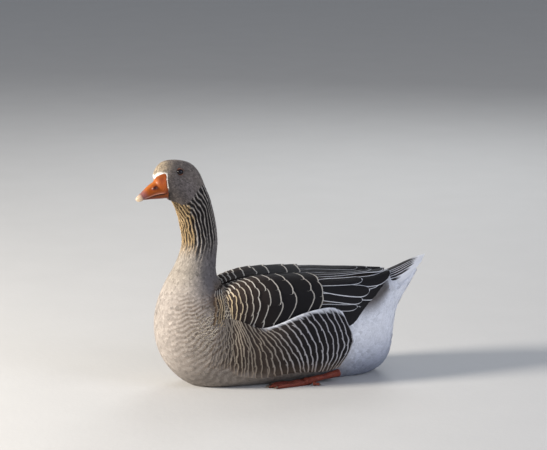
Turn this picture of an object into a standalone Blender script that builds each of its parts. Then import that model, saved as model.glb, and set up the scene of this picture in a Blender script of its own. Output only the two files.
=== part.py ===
"""A grey domestic goose of the greylag type at rest on its belly, neck up, at life size.

Metres, +Z up. The goose faces -X with its left side towards -Y. The origin is on the floor, in the middle
of the flat under the belly. Plumage counts as part of each solid, out to the tips of the feathers.
"""

import math

import bmesh
import bpy
import numpy as np
from mathutils import Matrix, Vector

MM = 0.001
GAP = 0.35 * MM

# Driving dimensions.
HEAD_TURN = math.radians(6.0)
NECK_AXIS_X = -168 * MM
EYE_RADIUS = 7.6 * MM
EYE_CENTRE = Vector((-220.5, -20.5, 489.7)) * MM
WING_THICKNESS = 24 * MM
FLANK_THICKNESS = 20 * MM
TARSUS_RADIUS = 7.0 * MM

# Sections of the body from the bill to the tail, in millimetres. Each is a ring in the plane through its back
# point and its belly point: back x, z, belly x, z, half width, and how far the widest part sits below the middle.
BODY = [
    (-272, 471, -240, 424.5, 16.5, 0.00),  # base of the bill
    (-271.5, 487, -236, 422.5, 23.5, 0.06),  # forehead
    (-257, 506.5, -231, 420.5, 28.5, 0.14),  # brow
    (-233.5, 512.8, -227.5, 416, 31.0, 0.20),  # eye
    (-207, 510, -223, 407, 32.5, 0.20),  # crown
    (-184, 501, -219, 396.5, 33.5, 0.16),  # back of the head
    (-166, 481, -215.5, 385, 34.0, 0.10),  # cheeks
    (-153, 452, -212.5, 373, 34.0, 0.05),  # nape
    (-140, 420, -210, 358, 34.0, 0.00),  # throat
    (-128.5, 373, -206, 338, 34.0, 0.00),  # upper neck
    (-123.5, 329, -206, 317, 35.5, 0.00),  # middle of the neck
    (-126.5, 292, -213, 293, 39.0, 0.00),  # lower neck
    (-129, 266, -224, 267, 47.0, 0.00),  # root of the neck
    (-126, 245, -238, 242, 59.0, 0.00),  # shoulders
    (-112, 230, -256, 200, 78.0, 0.04),  # top of the breast
    (-84, 227, -267, 148, 94.0, 0.06),  # breast
    (-48, 228, -262, 90, 101.0, 0.07),  # fore breast
    (-12, 229, -232, 35, 104.0, 0.07),  # front of the keel
    (28, 228, -166, -8, 105.0, 0.07),  # keel
    (78, 223, -50, -16, 104.0, 0.07),  # belly
    (130, 214, 85, -15, 98.0, 0.06),  # thighs
    (175, 206, 190, -10, 85.0, 0.05),  # hind belly
    (212, 201, 258, 14, 70.0, 0.03),  # vent
    (238, 202, 284, 62, 56.0, 0.00),  # end of the vent
    (258, 207, 290, 112, 45.0, 0.00),  # under the tail
    (276, 213, 298, 150, 36.0, 0.00),
    (294, 220, 313, 178, 29.0, 0.00),
    (312, 229, 329, 203, 24.0, 0.00),
    (330, 239, 343, 222, 18.0, 0.00),  # end of the coverts under the tail
]
HEAD_END, NECK_SPLIT, NECK_END = 6.5, 10.0, 13.0
SEAM = 0.02  # half the part between two lengths of the body, in sections

# Sections of the flank, whose feathers stand out over the lower wing, in millimetres from breast to thigh:
# x, then how far out and how high its upper edge, its fullest part and its lower edge are.
FLANK = [
    (-126, 103, 168, 110, 112, 97, 50),
    (-110, 105, 164, 112, 105, 95, 36),
    (-80, 107, 151, 114, 98, 92, 28),
    (-50, 108, 142, 117, 94, 91, 24),
    (-5, 109, 152, 119, 97, 92, 27),
    (41, 108, 168, 119, 101, 92, 30),
    (94, 102, 176, 115, 102, 89, 27),
    (125, 96, 172, 109, 100, 87, 31),
    (150, 90, 156, 102, 97, 88, 43),
    (166, 90, 126, 96, 94, 92, 66),
]

# Sections of the folded wing and the feathers over its root, in millimetres from shoulder to tip: x, then how
# far out and how high its ridge over the back, its fullest part and its lower edge are.
WING = [
    (-138, 46, 203, 80, 182, 98, 150),
    (-114, 52, 229, 97, 180, 104, 130),
    (-80, 57, 241, 101, 182, 102, 118),
    (-45, 60, 247, 103, 184, 101, 114),
    (19, 61, 248, 104, 190, 100, 122),
    (97, 57, 244, 98, 196, 94, 134),
    (160, 46, 238, 86, 196, 89, 137),
    (215, 29, 236, 63, 199, 64, 161),
    (250, 16, 235, 43, 210, 43, 189),
    (281, 6, 234, 20, 228, 20, 220),
]

# Sections of the bill from its base to its tip, in millimetres: ridge x, z, edge of the mouth x, z, half width.
UPPER_BILL = [
    (-271.0, 468.5, -252.2, 441.0, 16.0),
    (-279.5, 462.5, -263, 440.4, 15.0),
    (-288.3, 456.3, -274, 438.4, 13.7),
    (-297.0, 450.3, -286, 434.6, 12.4),
    (-303.0, 446.0, -295, 431.2, 11.4),
]
NAIL = [
    (-303.6, 445.6, -295.6, 430.9, 11.0),
    (-309, 441, -301, 427.6, 9.8),
    (-314, 436, -306, 425.3, 7.2),
    (-316.6, 431, -311, 424.5, 3.0),
]
LOWER_BILL = [
    (-251.8, 440.2, -243.4, 427.8, 14.0),
    (-263, 439.5, -259, 427.9, 13.0),
    (-274, 437.5, -272, 428.1, 11.4),
    (-286, 433.7, -284, 428.3, 9.6),
    (-294, 430.5, -293.6, 428.2, 6.5),
]

# Sections of the folded tail, in millimetres: x, top z, half width, and how far its sides hang below its top.
TAIL = [
    (262, 224, 32, 24),
    (285, 233, 34, 27),
    (305, 240, 31, 24),
    (325, 247, 26, 18),
    (343, 252.5, 21, 12),
    (355, 255.5, 15, 7),
    (361.5, 256, 7, 2),
]
TAIL_THICKNESS = 6 * MM

# Left leg and foot: hock, ankle, the tip of each toe on the floor, and the hind toe from root to tip.
HOCK = Vector((150, -84, 22)) * MM
ANKLE = Vector((60, -88, 7.6)) * MM
TOE_TIPS = {
    "inner": Vector((-18, -70, 4.2)) * MM,
    "middle": Vector((-32, -89, 4.2)) * MM,
    "outer": Vector((-18, -106, 4.2)) * MM,
}
HIND_TOE_ROOT = Vector((68, -101, 5.0)) * MM
HIND_TOE_TIP = Vector((81, -109, 4.0)) * MM
TOE_RADIUS = 4.1 * MM
WEB_THICKNESS = 2.4 * MM
WEB_REACH = 0.84
CLAW_LENGTH = 9 * MM


def spline(rows, at):
    """A natural cubic spline through all of a table's rows, read at the row numbers `at`."""
    rows, at = np.asarray(rows, float), np.asarray(at, float)
    count = len(rows)
    system = 4 * np.eye(count) + np.eye(count, k=1) + np.eye(count, k=-1)
    system[[0, -1]] = np.eye(count)[[0, -1]]
    pull = np.zeros_like(rows)
    pull[1:-1] = 6 * (rows[2:] - 2 * rows[1:-1] + rows[:-2])
    bend = np.linalg.solve(system, pull)
    i = np.clip(at.astype(int), 0, count - 2)
    t = (at - i)[:, None]
    return (1 - t) * rows[i] + t * rows[i + 1] - t * (1 - t) / 6 * ((2 - t) * bend[i] + (1 + t) * bend[i + 1])


def smooth_step(low, high, x):
    t = np.clip((x - low) / (high - low), 0, 1)
    return t * t * (3 - 2 * t)


def turned(points, share):
    """Points turned with the head about the upright axis of the neck, by a share of the head's full turn."""
    angle = HEAD_TURN * share
    x, y = points[..., 0] - NECK_AXIS_X, points[..., 1]
    c, s = np.cos(angle), np.sin(angle)
    return np.stack([NECK_AXIS_X + x * c - y * s, x * s + y * c, points[..., 2]], -1)


def body_rings(stations, around):
    """The body's skin as rings: at each station an egg-shaped ellipse spans from the back to the belly."""
    rows = spline(BODY, stations) * np.array([MM, MM, MM, MM, MM, 1])
    back, belly = rows[:, None, 0:2], rows[:, None, 2:4]
    wide, low = rows[:, None, 4], rows[:, None, 5]
    angle = np.linspace(0, 2 * math.pi, around, endpoint=False)[None, :]
    up, out = np.cos(angle), np.sin(angle) * (1 - low * np.cos(angle))
    median = (back + belly) / 2 + (back - belly) / 2 * up[..., None]
    points = np.stack([median[..., 0], wide * out, median[..., 1]], -1)
    points[..., 2] = np.maximum(points[..., 2], 0)
    share = 1 - smooth_step(HEAD_END, NECK_END, np.asarray(stations))[:, None]
    return turned(points, share)


def lofted(name, rings, material):
    """One closed solid through rings of points, with a flat face at each end."""
    rows, across = rings.shape[:2]
    mesh = bmesh.new()
    corners = [[mesh.verts.new(p) for p in ring] for ring in rings]
    for i in range(rows - 1):
        for j in range(across):
            k = (j + 1) % across
            mesh.faces.new((corners[i][j], corners[i][k], corners[i + 1][k], corners[i + 1][j]))
    for ring in (corners[0], corners[-1]):
        for i in range(across // 2 - 1):
            mesh.faces.new((ring[i], ring[i + 1], ring[-2 - i], ring[-1 - i]))
    bmesh.ops.recalc_face_normals(mesh, faces=mesh.faces)
    bmesh.ops.triangulate(mesh, faces=mesh.faces)
    return placed(name, mesh, material)


def placed(name, mesh, material):
    data = bpy.data.meshes.new(name)
    mesh.to_mesh(data)
    mesh.free()
    data.materials.append(material)
    data.shade_smooth()
    data.set_sharp_from_angle(angle=math.radians(50))
    made = bpy.data.objects.new(name, data)
    bpy.context.scene.collection.objects.link(made)
    return made


def finish(name, colour, roughness):
    material = bpy.data.materials.new(name)
    material.use_nodes = True
    shader = material.node_tree.nodes["Principled BSDF"]
    shader.inputs["Base Color"].default_value = (*colour, 1)
    shader.inputs["Roughness"].default_value = roughness
    shader.inputs["Metallic"].default_value = 0
    return material


def swollen_copy(source):
    """A hidden cutter: the source pushed out along its normals by the gap that parts keep."""
    cutter = bpy.data.objects.new(source.name + "_cutter", source.data.copy())
    bpy.context.scene.collection.objects.link(cutter)
    mesh = bmesh.new()
    mesh.from_mesh(cutter.data)
    for vert in mesh.verts:
        vert.co += vert.normal * GAP * 1.3
    mesh.to_mesh(cutter.data)
    mesh.free()
    cutter.hide_render = True
    cutter.display_type = "WIRE"
    return cutter


def cut(target, cutter):
    """Takes the cutter out of the target and applies the cut."""
    modifier = target.modifiers.new("cut_" + cutter.name, "BOOLEAN")
    modifier.operation = "DIFFERENCE"
    modifier.solver = "EXACT"
    modifier.object = cutter
    bpy.context.view_layer.update()
    graph = bpy.context.evaluated_depsgraph_get()
    cut_mesh = bpy.data.meshes.new_from_object(target.evaluated_get(graph))
    target.modifiers.remove(modifier)
    target.data = cut_mesh


def make_body(plumage):
    """Head, two lengths of neck and the trunk, parted by thin flat cuts."""
    lengths = {
        "head": (0, HEAD_END - SEAM, 13, 24, plumage["head"]),
        "neck_upper": (HEAD_END + SEAM, NECK_SPLIT - SEAM, 7, 22, plumage["neck"]),
        "neck_lower": (NECK_SPLIT + SEAM, NECK_END - SEAM, 6, 24, plumage["breast"]),
        "trunk": (NECK_END + SEAM, len(BODY) - 1, 27, 32, plumage["breast"]),
    }
    return {
        name: lofted(name, body_rings(np.linspace(start, end, count), around), material)
        for name, (start, end, count, around, material) in lengths.items()
    }


def bill_rings(table, count, around, flat_side):
    """Rings of one half of the bill: an arch over the mouth's flat edge, or under it for the lower half."""
    rows = spline(table, np.linspace(0, len(table) - 1, count)) * MM
    ridge, edge, wide = rows[:, None, 0:2], rows[:, None, 2:4], rows[:, None, 4]
    angle = np.linspace(0, 2 * math.pi, around, endpoint=False)[None, :]
    lift = np.cos(angle)
    share = np.where(lift > 0, 0.12 + 0.88 * lift, 0.12 + 0.12 * lift) * np.ones_like(wide)
    share = share if flat_side == "under" else 1 - share
    median = edge + (ridge - edge) * share[..., None]
    return turned(np.stack([median[..., 0], wide * np.sin(angle), median[..., 1]], -1), 1.0)


def make_bill(orange, horn):
    return {
        "bill_upper": lofted("bill_upper", bill_rings(UPPER_BILL, 9, 20, "under"), orange),
        "bill_nail": lofted("bill_nail", bill_rings(NAIL, 6, 16, "under"), horn),
        "bill_lower": lofted("bill_lower", bill_rings(LOWER_BILL, 7, 16, "over"), orange),
    }


def make_eye(name, side, material):
    mesh = bmesh.new()
    bmesh.ops.create_uvsphere(mesh, u_segments=12, v_segments=8, radius=EYE_RADIUS)
    centre = EYE_CENTRE.copy()
    centre.y *= -side
    centre = Vector(turned(np.array(centre), 1.0))
    bmesh.ops.translate(mesh, verts=mesh.verts, vec=centre)
    return placed(name, mesh, material)


def plate_rings(side, x, outer, thick, inward):
    """Rings of a curved plate: along its outer curve, and back along the same curve moved inward."""
    inner = (outer + inward * thick)[:, ::-1]
    inner[..., 0] = np.maximum(inner[..., 0], 1.2 * MM)
    loop = np.concatenate([outer, inner], 1)
    return np.stack([np.broadcast_to(x[:, None], loop.shape[:2]), side * loop[..., 0], loop[..., 1]], -1)


def wing_rings(side, count, along):
    """Rings of a folded wing: over the back to the ridge, down the side to the lower edge, and back inside."""
    rows = spline(WING, np.linspace(0, len(WING) - 1, count)) * MM
    x, ridge, full, edge = rows[:, 0], rows[:, 1:3], rows[:, 3:5], rows[:, 5:7]
    root = np.stack([np.minimum(2.5 * MM, ridge[:, 0] * 0.4), ridge[:, 1] - 9 * MM], -1)
    crest = np.stack([ridge[:, 0] * 0.5, ridge[:, 1] - 2 * MM], -1)
    shoulder = ridge * (0.38, 0.66) + full * (0.62, 0.34) + (3 * MM, 0)
    control = np.stack([root, crest, ridge, shoulder, full, edge], 1)
    outer = np.stack([spline(c, np.linspace(0, 5, along)) for c in control])
    middle = np.stack([0 * x, ridge[:, 1] * 0.5 + edge[:, 1] * 0.3], -1)[:, None, :]
    inward = middle - outer
    inward /= np.linalg.norm(inward, axis=-1, keepdims=True)
    thick = WING_THICKNESS * (1 - 0.72 * smooth_step(90 * MM, 200 * MM, x))
    return plate_rings(side, x, outer, thick[:, None, None], inward)


def flank_rings(side, count, along):
    """Rings of the flank: from its upper edge over its fullest part to its lower edge, and back inside."""
    rows = spline(FLANK, np.linspace(0, len(FLANK) - 1, count)) * MM
    x, top, full, low = rows[:, 0], rows[:, 1:3], rows[:, 3:5], rows[:, 5:7]
    outer = np.stack([spline(np.stack(c), np.linspace(0, 2, along)) for c in zip(top, full, low)])
    inward = np.array([-1.0, 0.0])
    return plate_rings(side, x, outer, FLANK_THICKNESS, inward)


def make_tail(material):
    """The folded tail as one thin arched wedge, narrowing to a round tip."""
    x, top, half, hang = spline(TAIL, np.linspace(0, len(TAIL) - 1, 10)).T[:, :, None] * MM
    out = np.linspace(-1, 1, 9)[None, :]
    thick = TAIL_THICKNESS * (1 - 0.5 * out**2) * (1 - 0.5 * smooth_step(300 * MM, 360 * MM, x))
    faces = []
    for drop in (0, 1):
        z = top - hang * out**2 - drop * thick
        faces.append(np.stack([x + 0 * out, half * out, z], -1))
    rings = np.concatenate([faces[0], faces[1][:, ::-1]], 1)
    return lofted("tail", rings, material)


def tube(start, end, first_radius, last_radius, around=12, count=7):
    """Rings of a straight tapered limb from start to end, swollen a little at both joints."""
    start, end = np.array(start), np.array(end)
    t = np.linspace(0, 1, count)[:, None]
    axis = (end - start) / np.linalg.norm(end - start)
    side = np.cross(axis, (0, 0, 1))
    side /= np.linalg.norm(side)
    over = np.cross(side, axis)
    joint = 1 + 0.16 * np.cos(2 * math.pi * t) ** 3
    radius = (first_radius + (last_radius - first_radius) * t) * joint
    angle = np.linspace(0, 2 * math.pi, around, endpoint=False)[None, :]
    centre = start + (end - start) * t
    return (
        centre[:, None, :]
        + (radius * np.cos(angle))[..., None] * side
        + (radius * np.sin(angle))[..., None] * over
    )


def foot_rings(count):
    """Rings across the left foot from the ankle to the toes' tips: three toes with thinner webs between them."""
    toe = np.array([0, 0, 0, 0, 0.5, 1, 1, 1, 1, 1.5, 2, 2, 2, 2])
    side = np.array([1, 0.5, -0.5, -1, 0, 1, 0.5, -0.5, -1, 0, 1, 0.5, -0.5, -1])
    share = np.array([0.4, 0.9, 0.9, 0, 0, 0, 0.9, 0.9, 0, 0, 0, 0.9, 0.9, 0.4])
    reach = np.where(toe % 1 > 0, WEB_REACH, 1)
    tips = np.array(list(TOE_TIPS.values()))
    start = np.array([ANKLE + Vector((0, (1 - k) * 7 * MM, 0)) for k in range(3)])
    t = np.linspace(0, 1, count)[:, None]
    low, high = np.floor(toe).astype(int), np.ceil(toe).astype(int)
    first, last = (start[low] + start[high]) / 2, (tips[low] + tips[high]) / 2
    points = first + (last - first) * (t * reach)[..., None]
    half = 3.4 * MM + (TOE_RADIUS - 3.4 * MM) * smooth_step(0, 0.4, t)
    tall = 2 * TARSUS_RADIUS + (2 * TOE_RADIUS - 2 * TARSUS_RADIUS) * smooth_step(0, 0.5, t)
    tall = tall * (1 + 0.08 * np.cos(6 * math.pi * t)) * (1 - 0.25 * smooth_step(0.8, 1, t))
    points[..., 1] += side * half
    web = WEB_THICKNESS + (tall * 0.7 - WEB_THICKNESS) * (1 - smooth_step(0, 0.3, t))
    top = np.where(share > 0, share * tall, web)
    upper = np.stack([points[..., 0], points[..., 1], top], -1)
    under = np.stack([points[..., 0], points[..., 1], 0 * top], -1)
    return np.concatenate([upper, under[:, ::-1]], 1)


def make_left_leg(skin, horn):
    """The shank, and the foot ahead of it: three webbed toes, a short hind toe and four claws."""
    ahead = Vector((7.5, 0, 1)) * MM
    solids = [
        lofted("shank_left", tube(HOCK, ANKLE + ahead, TARSUS_RADIUS * 1.12, TARSUS_RADIUS), skin),
        lofted("foot_left", foot_rings(9), skin),
        lofted("hind_toe_left", tube(HIND_TOE_ROOT, HIND_TOE_TIP, TOE_RADIUS, TOE_RADIUS * 0.7, 8, 4), skin),
    ]
    for name, tip in {**TOE_TIPS, "hind": HIND_TOE_TIP}.items():
        forward = (tip - (HIND_TOE_ROOT if name == "hind" else ANKLE)).normalized()
        start = tip + forward * 3 * GAP
        end = start + (forward - Vector((0, 0, 0.22))) * CLAW_LENGTH * (0.6 if name == "hind" else 1)
        solids.append(lofted("claw_left_" + name, tube(start, end, 2.6 * MM, 0.7 * MM, 8, 4), horn))
    return solids


def mirrored_copy(source, name):
    """A copy of a finished solid on the other side of the body."""
    mesh = bmesh.new()
    mesh.from_mesh(source.data)
    for vert in mesh.verts:
        vert.co.y = -vert.co.y
    bmesh.ops.reverse_faces(mesh, faces=mesh.faces)
    return placed(name, mesh, source.data.materials[0])


for old in list(bpy.data.objects):
    bpy.data.objects.remove(old)

PLUMAGE = {
    "head": finish("head_plumage", (0.19, 0.16, 0.13), 0.9),
    "neck": finish("neck_plumage", (0.16, 0.12, 0.08), 0.9),
    "breast": finish("breast_plumage", (0.50, 0.45, 0.38), 0.9),
    "flank": finish("flank_plumage", (0.14, 0.11, 0.085), 0.85),
    "wing": finish("wing_plumage", (0.06, 0.05, 0.045), 0.75),
    "tail": finish("tail_plumage", (0.82, 0.82, 0.84), 0.85),
}
BILL_ORANGE = finish("bill_orange", (0.85, 0.26, 0.03), 0.45)
HORN = finish("pale_horn", (0.82, 0.74, 0.62), 0.4)
CLAW_HORN = finish("claw_horn", (0.20, 0.13, 0.09), 0.5)
FOOT_SKIN = finish("foot_skin", (0.62, 0.15, 0.05), 0.55)
EYE_BROWN = finish("eye_brown", (0.03, 0.015, 0.01), 0.1)

body = make_body(PLUMAGE)
make_bill(BILL_ORANGE, HORN)
for side_name, side in (("left", -1), ("right", 1)):
    eye = make_eye("eye_" + side_name, side, EYE_BROWN)
    cut(body["head"], swollen_copy(eye))
tail = make_tail(PLUMAGE["tail"])
trunk_cutter = swollen_copy(body["trunk"])
neck_cutter = swollen_copy(body["neck_lower"])
cut(tail, trunk_cutter)
for side_name, side in (("left", -1), ("right", 1)):
    wing = lofted("wing_" + side_name, wing_rings(side, 16, 10), PLUMAGE["wing"])
    flank = lofted("flank_" + side_name, flank_rings(side, 13, 7), PLUMAGE["flank"])
    cut(tail, swollen_copy(wing))
    for cutter in (trunk_cutter, neck_cutter, swollen_copy(flank)):
        cut(wing, cutter)
    cut(flank, trunk_cutter)
for solid in make_left_leg(FOOT_SKIN, CLAW_HORN):
    mirrored_copy(solid, solid.name.replace("left", "right"))
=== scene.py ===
import math

import bpy
import numpy as np
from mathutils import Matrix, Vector
from mathutils.kdtree import KDTree


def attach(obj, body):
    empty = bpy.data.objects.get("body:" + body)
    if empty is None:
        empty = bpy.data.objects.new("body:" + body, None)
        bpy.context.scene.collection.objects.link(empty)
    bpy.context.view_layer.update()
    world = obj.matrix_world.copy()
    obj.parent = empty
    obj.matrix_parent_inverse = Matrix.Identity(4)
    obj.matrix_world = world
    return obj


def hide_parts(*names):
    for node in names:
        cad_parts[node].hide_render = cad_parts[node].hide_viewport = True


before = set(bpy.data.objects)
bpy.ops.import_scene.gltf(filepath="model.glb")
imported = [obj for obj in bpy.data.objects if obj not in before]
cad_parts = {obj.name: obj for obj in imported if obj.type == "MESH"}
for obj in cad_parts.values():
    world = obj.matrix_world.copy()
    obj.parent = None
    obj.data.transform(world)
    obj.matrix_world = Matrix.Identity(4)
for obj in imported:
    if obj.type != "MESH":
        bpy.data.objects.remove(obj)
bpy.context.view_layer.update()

# ---------------------------------------------------------------------------------------------
# The lie of the body. A goose's feathers hug one smooth form from the bill to the tail root, so
# that form is worked out first, as rings from the back line to the belly line. The skin is made
# from it a coat's depth further in, and the feathers are laid along it.
# ---------------------------------------------------------------------------------------------
MM = 0.001
BODY_RINGS = np.array([  # back x, z, belly x, z, half width, share of the width that hangs low
    (-272, 471, -240, 424.5, 16.5, 0), (-271.5, 487, -236, 422.5, 23.5, .06),
    (-257, 506.5, -231, 420.5, 28.5, .14), (-233.5, 512.8, -227.5, 416, 31, .2),
    (-207, 510, -223, 407, 32.5, .2), (-184, 501, -219, 396.5, 33.5, .16),
    (-166, 481, -215.5, 385, 34, .1), (-153, 452, -212.5, 373, 34, .05),
    (-140, 420, -210, 358, 34, 0), (-128.5, 373, -206, 338, 34, 0),
    (-123.5, 329, -206, 317, 35.5, 0), (-126.5, 292, -213, 293, 39, 0),
    (-129, 266, -224, 267, 47, 0), (-126, 245, -238, 242, 59, 0),
    (-112, 230, -256, 200, 78, .04), (-84, 227, -267, 148, 94, .06),
    (-48, 228, -262, 90, 101, .07), (-12, 229, -232, 35, 104, .07),
    (28, 228, -166, -8, 105, .07), (78, 223, -50, -16, 104, .07),
    (130, 215, 85, -15, 98, .06), (175, 213, 190, -10, 86, .05),
    (212, 213, 257, 14, 72, .03), (238, 214, 281, 62, 59, 0),
    (258, 216, 288, 112, 49, 0), (276, 219, 299, 150, 40, 0),
    (294, 223, 316, 178, 32, 0), (312, 229, 333, 203, 25, 0), (332, 240, 350, 229, 17, 0)])
HEAD_TURN = math.radians(6)
NECK_AXIS_X = -168
HEAD_END, NECK_END = 6.5, 13
STATION_ROWS, DEGREES = 20, 360      # rows to one ring spacing, columns round the body


def spline(rows, at):
    """A natural cubic curve through every row: straight mixing of the two rows on either side,
    less each row's bend, which one set of linear equations finds."""
    rows = np.asarray(rows, float)
    count = len(rows)
    system = 4 * np.eye(count) + np.eye(count, k=1) + np.eye(count, k=-1)
    system[0], system[-1] = np.eye(count)[0], np.eye(count)[-1]
    push = np.zeros_like(rows)
    push[1:-1] = 6 * (rows[:-2] - 2 * rows[1:-1] + rows[2:])
    bend = np.linalg.solve(system, push.reshape(count, -1)).reshape(rows.shape)
    at = np.clip(np.asarray(at, float), 0, count - 1)
    first = np.minimum(at.astype(int), count - 2)
    t = (at - first).reshape(at.shape + (1,) * (rows.ndim - 1))
    return ((1 - t) * rows[first] + t * rows[first + 1]
            - t * (1 - t) / 6 * ((2 - t) * bend[first] + (1 + t) * bend[first + 1]))


def ease(low, high, value):
    """0 below low, 1 above high, and a smooth S between them."""
    t = np.clip((value - low) / (high - low), 0, 1)
    return t * t * (3 - 2 * t)


def turned(points, share):
    """Turns points about the upright line through the neck, by a share of the head's turn."""
    angle = HEAD_TURN * share
    x, y = points[..., 0] - NECK_AXIS_X, points[..., 1]
    return np.stack([NECK_AXIS_X + x * np.cos(angle) - y * np.sin(angle),
                     x * np.sin(angle) + y * np.cos(angle), points[..., 2]], -1)


def body_surface(station, angle):
    """Each ring is an ellipse between its back and belly points, as wide as the sine of the angle
    from the back, with more of the width low down, cut off level where it lies on the floor. Under
    the tail a power below one makes its sides fuller."""
    back_x, back_z, belly_x, belly_z, wide, low = np.moveaxis(spline(BODY_RINGS, station), -1, 0)
    up = np.cos(angle)
    out = np.sin(angle) * (1 - low * up)
    out = out * np.maximum(np.abs(out), .05) ** (-.33 * ease(20, 22.5, station))
    points = np.stack([(back_x + belly_x) / 2 + (back_x - belly_x) / 2 * up, -wide * out,
                       np.maximum((back_z + belly_z) / 2 + (back_z - belly_z) / 2 * up, .3)], -1)
    return turned(points, 1 - ease(HEAD_END, NECK_END, station))


class Form:
    """A surface kept as a fine grid of points in mm, with its outward normal and its two
    directions at each, and read between them by straight-line mixing."""

    def __init__(self, points, closed=False):
        self.closed = closed
        along = np.gradient(points, axis=0)
        wrap = np.concatenate([points[:, -1:], points, points[:, :1]], 1) if closed else points
        across = np.gradient(wrap, axis=1)
        across = across[:, 1:-1] if closed else across
        normal = np.cross(across, along)
        normal /= np.linalg.norm(normal, axis=-1, keepdims=True) + 1e-9
        self.points, self.normal = points, normal
        self.area = np.linalg.norm(np.cross(across, along), axis=-1)
        self.data = np.concatenate([points, normal, along, across], -1)

    def read(self, row, column):
        """The point, normal, way along and way across at each row and column."""
        rows, columns = self.data.shape[:2]
        row = np.clip(row, 0, rows - 1.001)
        column = column % columns if self.closed else np.clip(column, 0, columns - 1.001)
        r, c = row.astype(int), column.astype(int)
        t, w = (row - r)[..., None], (column - c)[..., None]
        c = c % columns
        d = (c + 1) % columns
        mixed = ((1 - t) * ((1 - w) * self.data[r, c] + w * self.data[r, d])
                 + t * ((1 - w) * self.data[r + 1, c] + w * self.data[r + 1, d]))
        return np.split(mixed, 4, axis=-1)

    def step(self, along, across, move):
        """The rows and columns that a small move within the surface crosses."""
        a, b, d = (np.sum(p * q, -1) for p, q in ((along, along), (along, across), (across, across)))
        e, f = np.sum(move * along, -1), np.sum(move * across, -1)
        room = np.maximum(a * d - b * b, 1e-9)
        return (d * e - b * f) / room, (a * f - b * e) / room


last_station = len(BODY_RINGS) - 1
station_grid, angle_grid = np.meshgrid(np.linspace(0, last_station, last_station * STATION_ROWS + 1),
                                       np.radians(np.arange(DEGREES)), indexing="ij")
outline = Form(body_surface(station_grid, angle_grid), closed=True)

# ---------------------------------------------------------------------------------------------
# The skin. One hide lies a coat's depth under the feathers and carries their colours, so that no
# gap shows. The folded wings, the flanks, the tail and the bare scaly legs and webbed feet are
# closed shells of the same mesh, tucked into the body.
# ---------------------------------------------------------------------------------------------


def paint(red, green, blue):
    """An everyday 0 to 255 colour, as the linear light that the renderer mixes."""
    c = np.array([red, green, blue]) / 255
    return np.where(c <= .04045, c / 12.92, ((c + .055) / 1.055) ** 2.4)


def blended(first, second, share):
    """first where share is 0, second where it is 1."""
    share = np.asarray(share)[..., None]
    return first * (1 - share) + second * share


# The brow's lighter buff is a painted highlight where light falls on the forehead.
CROWN, CHEEK, BROW_PAINTED_HIGHLIGHT = paint(124, 114, 106), paint(106, 98, 95), paint(156, 141, 120)
FACE_WHITE, WHITE = paint(248, 242, 234), paint(236, 237, 242)
# The grooves' colours are their own darker tone with painted shade of the furrows' hollows.
NECK_BUFF, NECK_BUFF_GROOVE_TONE_AND_SHADE = paint(186, 158, 116), paint(38, 29, 20)
NECK_GROOVE_TONE_AND_SHADE, NECK_GREY = paint(30, 26, 26), paint(176, 168, 160)
LOWER_NECK, BREAST, SHOULDER = paint(158, 149, 138), paint(160, 151, 143), paint(114, 108, 107)
STREAK_BROWN, STREAK_BEIGE = paint(84, 68, 54), paint(238, 224, 196)
MANTLE, MANTLE_EDGE, RUMP = paint(84, 72, 64), paint(160, 146, 128), paint(110, 106, 104)
FURROWS = 32                                      # in the neck's feathers, once round


def hump(value, centre, spread):
    """A smooth bell, 1 at its centre."""
    return np.exp(-((value - centre) / spread) ** 2)


def fold_side(column):
    """The angle from the back, 0 to 180 degrees, on either side alike."""
    column = column % DEGREES
    return np.minimum(column, DEGREES - column)


def ripple(x, y, seed=0.0):
    """A smooth wandering value between -1 and 1, from a few crossed sine waves."""
    return (np.sin(x * 1.7 + 1.3 * np.sin(y * 1.1 + seed) + seed)
            + np.sin(y * 2.3 + 1.7 * np.sin(x * .9 + 2 * seed) + 3 * seed)) / 2


def furrows(row, column):
    """The neck's carved look: ridges of long feathers that run down the neck and drift back from
    the cheek, as a wave round the neck whose phase wanders. Returns how high, and how strong."""
    station, side = row / STATION_ROWS, fold_side(column)
    drift = 22 * (1 - ease(4.5, 8.2, station)) * ease(30, 70, side)
    wander = .55 * ripple(station * 1.6, side / 17) + .3 * ripple(station * 3.7, side / 9, 2.0)
    phase = FURROWS * (side - drift) / DEGREES + wander * .42
    ridge = .5 + .5 * np.cos(2 * np.pi * phase)
    start = np.interp(side, [0, 30, 83, 112, 135, 158, 180], [6.6, 6.6, 5.9, 5.6, 4.6, 2.6, 2.0])
    strength = ease(0, .55, station - start) * (1 - ease(10.1, 11.3, station + .35 * ripple(side / 11, 1.0)))
    return ridge, strength * (.55 + .45 * (1 - ease(112, 124, side)))


def face_line(side):
    """The station where the face's feathers start, at each angle from the back: the bill's bare
    skin runs back past it at the sides, and the forehead's feathers come forward over it."""
    return np.interp(side, [0, 14, 34, 48, 58, 67, 82, 101, 111, 140, 180],
                     [0, .1, .85, 1.35, 1.85, 1.75, 1.45, 1.25, .95, .1, -.1])


def mantle_share(station, side, start, inner, outer):
    """Where the brown back shows: from a station on, over the back out to an angle that widens to
    meet the wings' fronts."""
    spread = 26 * ease(13.4, 14.8, station)
    return ease(start, 13.8, station) * (1 - ease(inner, outer, side - spread))


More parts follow.
